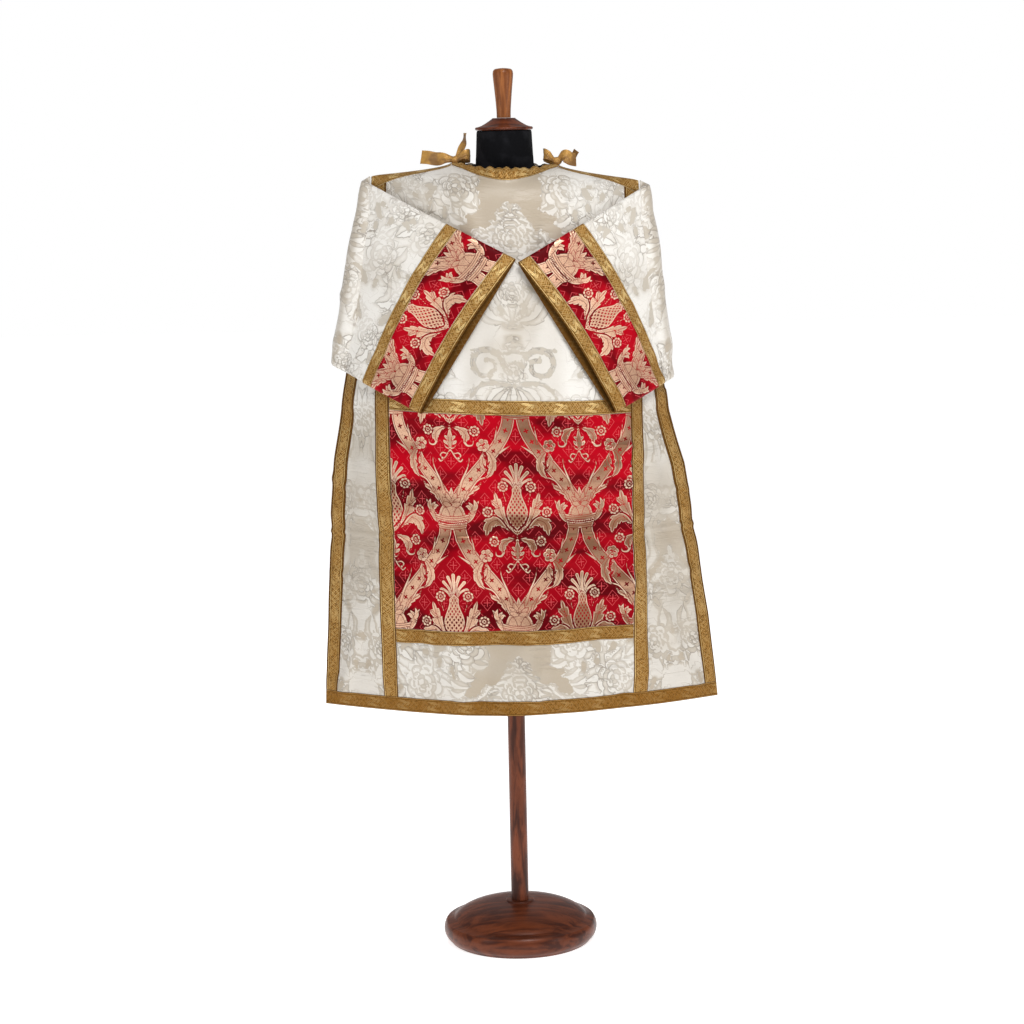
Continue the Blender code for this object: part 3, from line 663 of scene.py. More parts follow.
def damaskPattern(flat):
    # a runs out from the mirror line, b down the cloth; nearly all of it is figured
    half = damask["halfWidth"]
    a = np.abs((flat[:, 0] - damask["axis"] + half) % (2 * half) - half)
    b = flat[:, 1]
    pattern = startPattern([(a, b)], damask["repeat"])
    pattern["figure"][:] = -farAway

    def put(x, y, reach, shape, cut=False):
        stamp(pattern, x, y, reach, shape, cut)

    def tiers(x, way, rows):
        # stepped lobes, each wider than the one above: drop, half width, half height
        for y, wide, tall in reversed(rows):
            put(x, y, 120, outline([(way * -20, -tall), (way * wide * 0.6, -tall),
                                    (way * wide, 0), (way * wide * 0.93, tall),
                                    (way * -20, tall * 1.4)]))
            if way > 0:
                put(x + wide * 0.8, y, 40, frond([(-12, -2), (0, 2), (16, 8)], 5.2))

    for x, y, radius, turn, spread in damask["peonies"]:
        for number in range(5):
            angle = turn + number * 2 * math.pi / 5 + 0.3 * math.sin(7 * turn + 2.6 * number)
            reach = radius * (spread + 0.25 * math.sin(3 * number + 11 * turn))
            tip = (reach * math.cos(angle), reach * math.sin(angle))
            bow = 0.22 * (-1) ** number
            middle = (0.55 * tip[0] - bow * tip[1], 0.55 * tip[1] + bow * tip[0])
            put(x, y, 2.4 * radius, frond([(0, 0), middle, tip], radius * 0.44, 4, 0.22, 0.6))
    for start, *others, width in damask["sprays"]:
        route = [(x - start[0], y - start[1]) for x, y in (start, *others)]
        put(*start, 130, frond(route, width, 5, 0.25, 0.5))
    for x, y, rx, ry, turn in damask["gaps"]:
        put(x, y, 40, oval(rx, ry, 1, turn), True)
    for x, y, radius, turn, _ in damask["peonies"]:
        for number in range(3):
            angle = turn + (number * 2 + 0.5) * 2 * math.pi / 5
            put(x + 1.45 * radius * math.cos(angle), y + 1.45 * radius * math.sin(angle), 30,
                oval(11, 4.5, 1, angle + 0.5), True)
    # bare satin round the head of the middle spray, with leaf tips that point in to it
    put(0, 0, 160, outline(damask["middleSatin"], 1), True)
    for x, y, tipX, tipY, width in damask["tips"]:
        put(x, y, 50, frond([(0, 0), (tipX / 2, tipY / 2 + 6), (tipX, tipY)], width))
    # the middle spray: a pointed head over stepped tiers, and a peony
    tiers(0, 1, damask["middleTiers"])
    put(0, 90, 50, frond([(0, 6), (0, -6), (0, -17)], 7))
    put(0, 92, 50, frond([(2, 2), (10, -4), (17, -1)], 5))
    put(0, 176, 90, frond([(0, 0), (26, 6), (66, -20)], 13, 5, 0.3))
    flower(pattern, 0, 144, 35, (9, 7, 5, 4), 0.35)
    # pale scrolls under it, with ovals down the middle
    for y, rx, ry in ((302, 17, 6), (326, 12, 4), (340, 16, 7)):
        put(0, y, 50, oval(rx, ry, 1), True)
        put(0, y, 50, oval(rx * 0.6, ry * 0.5))
    put(47, 377, 80, stem(damask["scroll"], 5.8, 3), True)
    put(47, 377, 80, stem(damask["scroll"], 1.1, 0.9))
    put(0, 410, 100, stem([(0, 0), (40, -2), (62, 4), (80, 26)], 4, 2.5), True)
    put(0, 352, 100, stem([(0, 0), (30, 2), (50, -6), (78, -4)], 1.8, 1.2), True)
    for tipX, tipY in ((50, 42), (22, 58)):
        put(0, 412, 90, frond([(0, 0), (tipX * 0.6, tipY * 0.35), (tipX, tipY)], 12, 4, 0.25, 0.6))
    flower(pattern, 0, 388, 20, (8, 5, 3))
    # the outer spray, most of a half repeat lower
    side = half * 1000
    put(side, 700, 120, outline(damask["outerSatin"], 1), True)
    tiers(side, -1, damask["outerTiers"])
    put(side, 744, 50, frond([(0, 6), (0, -6), (0, -18)], 7.5))
    flower(pattern, side, 792, 31, (9, 7, 5, 4))
    for x, y, radius, turn, _ in damask["peonies"]:
        flower(pattern, x, y, radius, turn=turn)
    # where the satin is warmer (above 0) or the whole cloth paler (below 0). Both are painted: the cloth is darkened
    # by the size of this as painted shade, and the warmer satin is painted sheen; warm at the top middle, shaded at
    # the lower sides and towards the bottom, paler but shaded in the middle
    period = damask["repeat"]
    level, row = (b + 0.4) % period - 0.4, b % period
    warm = fall(a, 0.085, 0.05) * rise(level, -0.09, 0.04) * fall(level, 0.15, 0.04)
    outer = 1.35 * rise(a, 0.2, 0.05) * rise(b, 0.42, 0.12)
    low = 0.75 * rise(b, 0.83, 0.06)
    pale = fall(a, 0.075, 0.035) * rise(row, 0.19, 0.05) * fall(row, 0.44, 0.04)
    tone = np.maximum(np.maximum(warm, outer), low) - pale
    return np.stack([pattern["figure"], pattern["inner"], tone], axis=1)


# Crimson lampas with an ogee of ribbons, crowns and pineapples

lampas = {
    "width": 0.241,
    "repeat": 0.41,
    "ribbonHalf": 0.012,
    "ribbonStart": 0.0063,  # below a crown's middle
    "ribbonRun": 0.1924,
    "crownShift": -0.018,  # how far the crowns are below the middles of the fruits
    "ribbonNear": 0.11,  # share of half the repeat's width where a ribbon leaves its crown
    # the fruit's outline in millimetres, and its half width at a few heights in metres
    "fruit": ((-6, -46), (1, -45), (8, -34), (15.5, -20), (19.3, -3), (17.8, 12), (12.5, 26),
              (8.8, 38), (8, 47), (-6, 48)),
    "bulge": ((-0.046, -0.034, -0.003, 0.026, 0.047), (0.0052, 0.0095, 0.0193, 0.014, 0.0105)),
}
crownBand = {"bow": 4.5, "half": 0.029, "flare": 0.34, "halfHeight": 0.012,
             "stripes": (0.0042, 0.0062, 0.0084)}


def ribbonCourse():
    # x, drop and length along one ribbon, from its upper crown to the next
    drop = np.linspace(0, lampas["repeat"] / 2, 200)
    near = lampas["ribbonNear"]
    share = near + (1 - near) * rise(drop, lampas["ribbonStart"], lampas["ribbonRun"])
    x = lampas["width"] / 2 * share
    length = np.concatenate([[0], np.cumsum(np.hypot(np.diff(x), np.diff(drop)))])
    return x, drop, length


def bandShape(dx, dy):
    # a crown's band: flared, curved up at its ends, in five signed stripes
    lift = dy - crownBand["bow"] * dx ** 2
    distance = np.maximum(np.abs(dx) - crownBand["half"] - crownBand["flare"] * lift,
                          np.abs(lift) - crownBand["halfHeight"])
    first, second, third = crownBand["stripes"]
    stripe = np.where(np.abs(lift) > second, third - np.abs(lift), np.abs(lift) - first)
    return distance, np.where(stripe < 0, -1, 1), np.abs(stripe)


def lampasPattern(flat):
    # x from a pineapple's middle line and y up from its centre, in both halves of the half drop
    width, repeat = lampas["width"], lampas["repeat"]
    x = np.abs((flat[:, 0] + width / 2) % width - width / 2)
    y = (flat[:, 1] + repeat / 2) % repeat - repeat / 2
    views = [(x, y), (width / 2 - x, (y + repeat) % repeat - repeat / 2)]
    crownUp = repeat / 2 + lampas["crownShift"]
    pattern = startPattern(views, repeat)
    courseX, courseDrop, courseLength = ribbonCourse()
    along, aside = np.zeros(len(x)), np.full(len(x), farAway)
    for viewX, viewY in views:
        drop = (crownUp - viewY) % repeat
        slope = np.interp(drop, courseDrop, np.gradient(courseX, courseDrop))
        steep = np.sqrt(1 + slope ** 2)
        side = (viewX - np.interp(drop, courseDrop, courseX)) / steep
        closer = (drop <= repeat / 2) & (np.abs(side) < np.abs(aside))
        aside = np.where(closer, side, aside)
        along = np.where(closer, np.interp(drop + side * slope / steep, courseDrop,
                                           courseLength), along)
    ribbon = np.abs(aside) - lampas["ribbonHalf"]
    pattern["figure"] = np.minimum(pattern["figure"], ribbon)
    pattern["inner"] = np.where(ribbon < 0, -np.abs(ribbon), np.abs(ribbon)).clip(-farAway,
                                                                                 farAway)

    def put(reach, shape, x=0, y=0, cut=False):
        stamp(pattern, x, y, reach, shape, cut)

    def crown(reach, shape, x=0, y=0, cut=False):
        stamp(pattern, x, crownUp * 1000 + y, reach, shape, cut)

    # beside each ribbon: a hooked leaf inside, toothed ones outside, and half way up
    # a broad leaf over it with a flower on its tip
    crown(140, stem([(12, 54), (21, 80), (31, 104), (34, 122)], 3, 0.8))
    crown(120, frond([(22, 36), (32, 56), (50, 68), (56, 80)], 6.2, 4, 0.5))
    crown(120, stem([(34, 58), (48, 78), (66, 86)], 1.8, 1.4))
    crown(160, frond([(58, 136), (70, 128), (77, 110), (71, 92), (60, 80)], 8.6, 5, 0.3, 0.5))
    crown(160, frond([(59, 134), (58, 112), (64, 94)], 7.2, 3, 0.3, 0.55))
    crown(160, stem([(60, 137), (66, 120), (65, 106), (67, 96)], 1.7, 0.8), cut=True)
    for cutX, cutY, reachX in ((66, 118, -6), (65, 108, 6), (65.5, 101, -5)):
        crown(40, stem([(0, 0), (reachX * 0.6, 2), (reachX, 6)], 1.1, 0.6), cutX, cutY, True)
    crown(40, petals(12.4, 6, 0.35, 0.3), 59, 144)
    for angle in (0.9, 3, 5.1):
        crown(20, oval(1.3, 1.3), 59 + 4.8 * math.cos(angle), 143 + 4.8 * math.sin(angle), True)
    # under the fruit: a fleur on the tail, with curls below it
    put(120, stem([(0, -44), (0, -70), (0, -88)], 3, 2.6))
    put(120, outline([(-5, -66), (0, -50), (4.2, -60), (6.2, -72), (3.6, -82), (-5, -84)]))
    for route in ([(2, -73), (7, -65), (11.5, -63)], [(2, -81), (9, -74), (12.5, -70)]):
        put(120, frond(route, 3, 0, 0, 0.6, False))
    put(120, stem([(-2, -86), (6, -85), (11, -79)], 1.9, 0.9))
    for route in ([(0, -88), (6, -95), (14, -94), (18.5, -99), (14.5, -104)],
                  [(4, -94), (9, -102), (17, -110), (21.5, -106)]):
        put(140, stem(route, 1.4, 1.6))
    put(20, oval(2.4, 2.4), 14.5, -104)
    # leaves from the foot of the fruit: two that droop, one that stands against it
    put(120, frond([(1, -46), (17, -50), (28, -60), (26, -78)], 9.2, 4, 0.42, 0.6))
    put(120, stem([(26, -74), (31, -80), (40, -79), (42, -71)], 2.4, 1))
    put(120, frond([(2, -43), (18, -24), (37, -13), (53, -20), (59, -45)], 12.8, 6, 0.46, 0.62))
    put(120, frond([(3, -41), (19, -22), (31, 4), (42, 42)], 12.4, 5, 0.5, 0.58))
    put(120, frond([(31, 10), (41, 16), (50, 27)], 4.6, 3, 0.4))
    # the tuft and the fruit
    for route, foot, tip in (([(3, 45), (12, 58), (23.5, 64), (29, 57)], 2, 2.8),
                             ([(2, 46), (9, 64), (19.5, 77)], 1.7, 3.6),
                             ([(1, 46), (4.2, 69), (10.2, 87)], 1.6, 3.5),
                             ([(0, 44), (0, 68), (0, 91)], 1.7, 3.6)):
        put(120, stem(route, foot, tip))
    inFruit = outline(lampas["fruit"])
    put(60, inFruit)
    # red channels that fan out from the foot, and small flowers at their ends
    for route in ([(1, -42), (14, -30), (30, -10), (46, -2)],
                  [(2, -30), (15, -16), (21, 4), (22, 22)],
                  [(2, -46), (18, -40), (34, -42), (40, -48)]):
        put(90, stem(route, 1.3, 1), cut=True)
    for cx, cy, fromX, fromY in ((25.6, 50, -6, -28), (55, 3, -16, -6), (44, -53, -12, 8)):
        put(50, stem([(0, 0), (fromX * 0.4, fromY * 0.6), (fromX, fromY)], 1), cx, cy)
        for shape, cut in ((oval(11.8, 11.8), True), (petals(10.4, 8, 0.2, 0.26), False),
                           (oval(6, 6), True), (oval(4.3, 4.3), False), (oval(1.4, 1.4), True)):
            put(20, shape, cx, cy, cut)
    # the crowns: two arches with a star between, on a flared band with horned ends
    crown(90, outline([(-6, 8), (24, 8), (23.5, 20), (18, 31), (8, 36), (-6, 38)]))
    crown(50, outline([(4, 4), (4, 18), (11.5, 29), (19, 18), (19, 4)], 1))
    for tipX, tipY in ((0, 68), (9.5, 58), (17.5, 48), (17.5, 36)):
        crown(80, frond([(0, 32), (tipX * 0.6, 34 + (tipY - 34) * 0.5), (tipX, tipY)],
                        4.6, 0, 0, 0.5, False))
    crown(30, oval(5.8, 8.2), 29, 22.5, True)
    for route, wide in (([(26, 0), (35, 14), (42, 28), (52, 45)], 6.2),
                        ([(36, 16), (38, 28), (30, 40)], 5.2),
                        ([(38, 22), (44, 32), (40, 46)], 4.4),
                        ([(35, 24), (30, 31), (23.5, 30)], 3.4)):
        crown(80, frond(route, wide, 0, 0, 0.35, False))
    crown(50, bandShape)
    for across in np.arange(8) * 3.6:
        crown(10, oval(1, 1.6), across, crownBand["bow"] * across ** 2 / 1000, True)
    # leaf spurs beside the ribbons below each crown
    crown(120, stem([(30, -74), (21, -68), (9, -60)], 2.6, 0.8))
    crown(100, stem([(38.5, -56), (37, -42), (33.5, -24)], 2.4, 0.8))
    # eyes are laid out over the bulge of the fruit
    fruit, eye = np.full(len(x), farAway), np.zeros((len(x), 3))
    for viewX, viewY in views:
        near = np.flatnonzero((viewX < 0.04) & (np.abs(viewY) < 0.06))
        inside = inFruit(viewX[near], viewY[near])[0]
        bulge = np.interp(viewY[near], *lampas["bulge"])
        closer = inside < fruit[near]
        pick = near[closer]
        fruit[pick] = inside[closer]
        eye[pick, 0] = viewX[pick] * max(lampas["bulge"][1]) / bulge[closer]
        eye[pick, 1] = viewY[pick]
    bare = np.minimum(pattern["covered"], -ribbon)
    return {"weave": np.stack([pattern["figure"], pattern["inner"], fruit], axis=1),
            "eye": eye, "ribbon": np.stack([bare, along, aside], axis=1)}


# Shader building: nodes are placed in the tree that was started last

desk = {}


def join(value, socket):
    if isinstance(value, bpy.types.NodeSocket):
        desk["tree"].links.new(value, socket)
    else:
        socket.default_value = value


def place(kind, inputs=None, **settings):
    node = desk["tree"].nodes.new("ShaderNode" + kind)
    for key, value in settings.items():
        setattr(node, key, value)
    for key, value in (inputs or {}).items():
        join(value, node.inputs[key])
    return node


def operation(kind):
    # a function that places a maths node of this kind on its values
    def placed(*values):
        inputs = dict(enumerate((*values, 0, 0)[:3]))
        return place("Math", inputs, operation=kind).outputs[0]
    return placed


plus, minus, times, timesPlus = map(operation, ("ADD", "SUBTRACT", "MULTIPLY", "MULTIPLY_ADD"))
shareOf, toPower, root, larger = map(operation, ("DIVIDE", "POWER", "SQRT", "MAXIMUM"))
size, sine, wrapped, pingPong = map(operation, ("ABSOLUTE", "SINE", "FLOORED_MODULO", "PINGPONG"))


def ramp(value, low, high, toLow=0, toHigh=1):
    inputs = {"Value": value, "From Min": low, "From Max": high, "To Min": toLow,
              "To Max": toHigh}
    return place("MapRange", inputs, interpolation_type="SMOOTHSTEP").outputs["Result"]


def below(value, low, high, most=1):
    return ramp(value, low, high, most, 0)


def lineMask(field, half, soft):
    # 1 where the field is within half of zero
    return below(size(field), half - soft, half + soft)


def blend(share, *colours):
    first, second = ((*c, 1) if isinstance(c, tuple) else c for c in colours)
    return place("Mix", {0: share, 6: first, 7: second}, data_type="RGBA").outputs[2]


def split(vector):
    return place("SeparateXYZ", {0: vector}).outputs


def attribute(name):
    return place("Attribute", attribute_name=name).outputs["Vector"]


def noise(vector, scale, detail, **more):
    return place("TexNoise", {"Vector": vector, "Scale": scale, "Detail": detail, **more}).outputs


def stretched(vector, shares):
    return place("VectorMath", {0: vector, 1: shares}, operation="MULTIPLY").outputs["Vector"]


def useGroup(group, **inputs):
    named = {key.replace("_", " "): value for key, value in inputs.items()}
    return place("Group", named, node_tree=group).outputs


def startGroup(name, outputs, inputs):
    # inputs with their defaults, None for a vector
    tree = desk["tree"] = bpy.data.node_groups.new(name, "ShaderNodeTree")
    for label, default in inputs.items():
        kind = "NodeSocketVector" if default is None else "NodeSocketFloat"
        socket = tree.interface.new_socket(label, in_out="INPUT", socket_type=kind)
        if default is not None:
            socket.default_value = default
    for label in outputs:
        tree.interface.new_socket(label, in_out="OUTPUT", socket_type="NodeSocketFloat")
    given = tree.nodes.new("NodeGroupInput").outputs
    desk["result"] = tree.nodes.new("NodeGroupOutput")
    return given


def endGroup(**sockets):
    for key, socket in sockets.items():
        join(socket, desk["result"].inputs[key])
    return desk["tree"]


def feed(**values):
    # values or sockets for the Principled inputs of these names
    shader = desk["tree"].nodes["Principled BSDF"]
    for key, value in values.items():
        join(value, shader.inputs[key.replace("_", " ")])


def startMaterial(name, **constants):
    material = desk["material"] = bpy.data.materials.new(name)
    material.use_nodes = True
    desk["tree"] = material.node_tree
    feed(**constants)


def finished(height, distance, strength, **sockets):
    feed(**sockets)
    bump = place("Bump", {"Height": height, "Distance": distance, "Strength": strength})
    feed(Normal=bump.outputs["Normal"])
    return desk["material"]


# In the finishes below, a row of two to four numbers is a soft step: where it starts and
# ends, and the values there.

effects = {
    "slubs": 260,  # scale of the threads' unevenness
    "crossing": 0.35,
    "cloud": (0.3, 0.7, -1, 1),
    "puckerStretch": (26, 115, 0),
    "puckerPatches": 9,
    "puckered": (0.38, 0.62, 0.15),
}


def makeThreadGroup():
    # crossing threads that follow the cloth, a little uneven
    given = startGroup("threads", ("Height", "Shade"),
                       {"Flat": None, "Threads per Metre": 900, "Unevenness": 0.4})
    flat = split(given["Flat"])
    turns = times(given["Threads per Metre"], 2 * math.pi)
    warp = sine(times(flat[0], turns))
    weft = sine(times(flat[1], turns))
    crossed = times(warp, weft)
    uneven = noise(given["Flat"], effects["slubs"], 2)[0]
    slubs = times(uneven, given["Unevenness"])
    return endGroup(Height=timesPlus(crossed, effects["crossing"], slubs), Shade=uneven)


def makeMottleGroup():
    # slow change of shade over a surface, from -1 to 1
    given = startGroup("mottle", ("Shade",), {"Coordinates": None, "Scale": 6})
    cloudy = noise(given["Coordinates"], given["Scale"], 3)[0]
    return endGroup(Shade=ramp(cloudy, *effects["cloud"]))


def makePuckerGroup():
    # short wavy level puckers where the weft has drawn in
    given = startGroup("puckers", ("Height",), {"Flat": None})
    fine = noise(stretched(given["Flat"], effects["puckerStretch"]), 1, 2, Distortion=0.9)[0]
    where = noise(given["Flat"], effects["puckerPatches"], 1)[0]
    return endGroup(Height=times(fine, ramp(where, *effects["puckered"])))


threads = makeThreadGroup()
mottle = makeMottleGroup()
puckers = makePuckerGroup()


def mottled(vector, scale):
    return useGroup(mottle, Coordinates=vector, Scale=scale)["Shade"]


damaskFinish = {
    "figure": (0.83, 0.8, 0.75),
    "shade": (0.5, 0.44, 0.36),
    "ground": (0.56, 0.505, 0.425),
    # painted sheen: the ground's warmer colour, where the tone is above 0
    "warmGround": (0.42, 0.335, 0.235),
    "line": (0.28, 0.24, 0.195),
    "lineHalf": 0.0008,
    "lineSoft": 0.0006,
    "outline": 0.3,  # of the figure, beside the lines in it
    "strayScale": 75,
    "stray": 0.024,  # how far the figure's edges wander
    "strayInside": 0.0048,
    "edge": (-0.0007, 0.0007),
    "clearScale": 15,  # patches where the lines show well
    "clear": (-0.6, 0.8, 0.1, 1),
    # painted relief shade: darker on one side of each inner line, fading away from it
    "hollow": (-0.0075, -0.0008),
    "hollowEdge": (-0.0004, 0.0004),
    "hollowShade": 0.34,
    "warmHollow": 0.3,
    "slowScale": 5,
    "slowWarmth": 0.22,
    "slowShade": (-0.2, 1, 0, 0.4),
    # painted shade over the cloth, by the size of the tone
    "soil": 0.34,
    "lineShare": 0.85,
    # painted shade along the puckers
    "creased": (0.54, 0.66, 0, 0.3),
    "fuzz": (0.3, 0.8, 0, 0.1),
    "threads": 760,
    "threadHeight": 0.3,
    "lineDepth": -0.8,
    "pucker": 10,
    "bump": 0.00035,
    "figureRoughness": 0.46,
    "groundRoughness": 0.36,
}


def makeDamask():
    finish = SimpleNamespace(**damaskFinish)
    startMaterial("ivoryDamask", Sheen_Weight=0.25, Sheen_Roughness=0.4)
    weave = split(attribute("weave"))
    flat = attribute("flat")
    stray = split(noise(flat, finish.strayScale, 3)[1])
    border = timesPlus(minus(stray[0], 0.5), finish.stray, weave[0])
    course = timesPlus(minus(stray[1], 0.5), finish.strayInside, weave[1])
    figure = below(border, *finish.edge)
    edge = lineMask(border, finish.lineHalf, finish.lineSoft)
    inner = times(lineMask(course, finish.lineHalf, finish.lineSoft), figure)
    line = larger(times(edge, finish.outline), inner)
    line = times(line, ramp(mottled(flat, finish.clearScale), *finish.clear))
    # painted relief shade beside the inner lines, inside the figure
    hollow = times(ramp(weave[1], *finish.hollow), below(weave[1], *finish.hollowEdge))
    hollow = times(hollow, figure)
    slow = mottled(flat, finish.slowScale)
    # the ground turns warmer where the tone paints sheen
    warm = timesPlus(slow, finish.slowWarmth, weave[2])
    ground = blend(warm, finish.ground, finish.warmGround)
    fine = useGroup(threads, Flat=flat, Threads_per_Metre=finish.threads)
    pucker = useGroup(puckers, Flat=flat)["Height"]
    colour = blend(figure, ground, finish.figure)
    # painted shade: relief shade, more where the tone is above 0, slow patches, and shade by the size of the tone
    deepened = timesPlus(larger(weave[2], 0), finish.warmHollow, finish.hollowShade)
    shade = timesPlus(hollow, deepened, ramp(slow, *finish.slowShade))
    shade = timesPlus(size(weave[2]), finish.soil, shade)
    colour = blend(shade, colour, finish.shade)
    colour = blend(times(line, finish.lineShare), colour, finish.line)
    # painted shade along the puckers
    colour = blend(ramp(pucker, *finish.creased), colour, finish.line)
    colour = blend(ramp(fine["Shade"], *finish.fuzz), colour, finish.ground)
    roughness = ramp(figure, 0, 1, finish.groundRoughness, finish.figureRoughness)
    height = timesPlus(line, finish.lineDepth, figure)
    height = timesPlus(fine["Height"], finish.threadHeight, height)
    height = timesPlus(pucker, finish.pucker, height)
    return finished(height, finish.bump, 0.8, Base_Color=colour, Roughness=roughness)


lampasFinish = {
    "ground": (0.45, 0.0012, 0.01),
    # painted shade of the satin's folds, and less light low down
    "deepGround": (0.105, 0.0005, 0.003),
    "figure": (0.71, 0.44, 0.295),
    # painted dark reflections and shade on the gilt
    "deepFigure": (0.25, 0.13, 0.072),
    # painted highlight along the figure's edge
    "rim": (0.92, 0.74, 0.56),
    "speck": (0.34, 0.1, 0.07),
    "lattice": (0.68, 0.085, 0.095),
    "lineHalf": 0.00045,
    "soft": 0.0004,
    "eyeApart": (0.0088, 0.0104),  # across and down the fruit
    "edge": (-0.0005, 0.0004),
    "eyeStart": 0.0552,
    "eyeFlat": 0.55,
    "eye": (0.0015, 0.0021),
    "inFruit": (-0.0026, -0.0018),
    "onRibbon": (0.0002, 0.001),
    "ribbonLine": 0.0005,
    "ribbonEdge": 0.0093,
    "crossSpacing": 0.0225,
    "crossHalf": 0.0013,
    "crossReach": (0.0042, 0.005),
    "threads": 900,
    "latticeFrom": (0.0016, 0.0024, 0, 0.8),  # distance outside the figure
    "specks": 420,
    "speckSize": (0.2, 0.44, 0.65),
    "speckIn": (-0.0024, -0.0014),
    "drawn": (0.45, 1.7, 1),  # stretch of the slow shades along the cloth
    "deepScale": 10,
    "deep": (-0.6, 0.9),
    "low": (-0.19, 0.08, 0.45),  # less light low down
    "bronzeScale": 6,
    "bronze": (-0.4, 0.9),
    "onCuff": (0, 0.1),
    "cuffBronze": (0, 0.1, 1, 0.3),  # cuffs face the light
    # painted shade on the gilt towards one side
    "aged": (-0.08, 0.2, 0, 0.55),
    "rimPlace": 0.0012,
    "rimWidth": (0.0006, 0.0005),
    "rimShare": 0.6,
    "threadHeight": 0.25,
    "bump": 0.0003,
    "metallic": 0.45,
    "figureRoughness": 0.34,
    "groundRoughness": 0.4,
}
diaper = {
    "across": 0.0398,
    "down": 0.0478,
    "half": 0.012,
    "flatness": 0.83,
    "lineHalf": 0.00063,
    "barHalf": 0.000675,
    "soft": 0.0003,
    "cross": (0.0064, 0.0068),
    "dotsOut": 0.0088,
    "dotHalf": 0.0009,
    "dotSoft": 0.0004,
}


def makeDiaperGroup():
    # thin diamonds with a small cross in each, on one half of a staggered lattice
    given = startGroup("diamonds", ("Mask",), {"Flat": None, "Shift": 0})
    flat = split(given["Flat"])

    def swung(value, period):
        moved = timesPlus(given["Shift"], period, value)
        return pingPong(plus(moved, period / 2), period / 2)

    x, y = swung(flat[0], diaper["across"]), swung(flat[1], diaper["down"])
    x, y = minus(diaper["across"] / 2, x), minus(diaper["down"] / 2, y)
    away = plus(x, times(y, diaper["flatness"]))
    soft = diaper["soft"]
    edge = lineMask(minus(away, diaper["half"]), diaper["lineHalf"], soft)
    within = below(away, *diaper["cross"])
    bars = larger(*(lineMask(field, diaper["barHalf"], soft) for field in (x, y)))
    middle = size(minus(x, y))
    corner = minus(away, diaper["dotsOut"])
    dots = times(*(lineMask(field, diaper["dotHalf"], diaper["dotSoft"])
                   for field in (corner, middle)))
    return endGroup(Mask=larger(larger(edge, times(bars, within)), dots))


diamonds = makeDiaperGroup()


def makeLampas():
    finish = SimpleNamespace(**lampasFinish)
    soft = finish.soft
    startMaterial("crimsonLampas", Specular_IOR_Level=0.04)
    weave = split(attribute("weave"))
    eye = split(attribute("eye"))
    ribbon = split(attribute("ribbon"))
    flat = attribute("flat")
    figure = below(weave[0], *finish.edge)
    inner = lineMask(weave[1], finish.lineHalf, soft)
    # eyes of the fruit, in staggered rows
    eyeRows = []
    across, down = finish.eyeApart
    for shift in (0, 0.5):
        x = pingPong(plus(eye[0], shift * across), across / 2)
        y = pingPong(plus(eye[1], shift * down + finish.eyeStart), down / 2)
        spot = root(plus(times(x, x), times(times(y, y), finish.eyeFlat)))
        eyeRows.append(below(spot, *finish.eye))
    eyes = times(larger(*eyeRows), below(weave[2], *finish.inFruit))
    # the ribbons' edge lines and crosses, where nothing lies over them
    onRibbon = ramp(ribbon[0], *finish.onRibbon)
    aside = size(ribbon[2])
    edges = lineMask(minus(aside, finish.ribbonEdge), finish.ribbonLine, soft)
    spacing = finish.crossSpacing
    along = size(minus(wrapped(ribbon[1], spacing), spacing / 2))
    upright, level = (times(lineMask(near, finish.crossHalf, soft),
                            below(far, *finish.crossReach))
                      for near, far in ((along, aside), (aside, along)))
    marks = times(larger(edges, larger(upright, level)), onRibbon)
    line = larger(larger(inner, eyes), marks)
    shown = times(figure, minus(1, line))
    one, two = (useGroup(diamonds, Flat=flat, Shift=shift)["Mask"] for shift in (0, 0.5))
    lattice = times(larger(one, two), ramp(weave[0], *finish.latticeFrom))
    specks = place("TexVoronoi", {"Vector": flat, "Scale": finish.specks}).outputs["Distance"]
    specks = times(below(specks, *finish.speckSize), below(weave[0], *finish.speckIn))
    drawn = stretched(flat, finish.drawn)
    # painted shade of the satin's folds in slow bands, and less light low down
    slow = mottled(drawn, finish.deepScale)
    fine = useGroup(threads, Flat=flat, Threads_per_Metre=finish.threads)
    low = below(split(flat)[1], *finish.low)
    deep = plus(ramp(slow, *finish.deep), low)
    ground = blend(deep, finish.ground, finish.deepGround)
    # painted dark reflections in the gilt, fewer on the cuffs, which face the light
    bronze = mottled(drawn, finish.bronzeScale)
    facing = ramp(split(flat)[2], *finish.cuffBronze)
    bronze = times(ramp(bronze, *finish.bronze), facing)
    # painted shade towards one side, off the cuffs
    aged = times(ramp(split(flat)[0], *finish.aged), below(split(flat)[2], *finish.onCuff))
    gilt = blend(plus(bronze, aged), finish.figure, finish.deepFigure)
    # painted highlight along the figure's edge
    rim = lineMask(plus(weave[0], finish.rimPlace), *finish.rimWidth)
    gilt = blend(times(rim, finish.rimShare), gilt, finish.rim)
    gilt = blend(specks, gilt, finish.speck)
    colour = blend(shown, blend(lattice, ground, finish.lattice), gilt)
    roughness = ramp(shown, 0, 1, finish.groundRoughness, finish.figureRoughness)
    metallic = times(shown, finish.metallic)
    height = timesPlus(fine["Height"], finish.threadHeight, shown)
    return finished(height, finish.bump, 0.6, Base_Color=colour, Roughness=roughness,
                    Metallic=metallic)


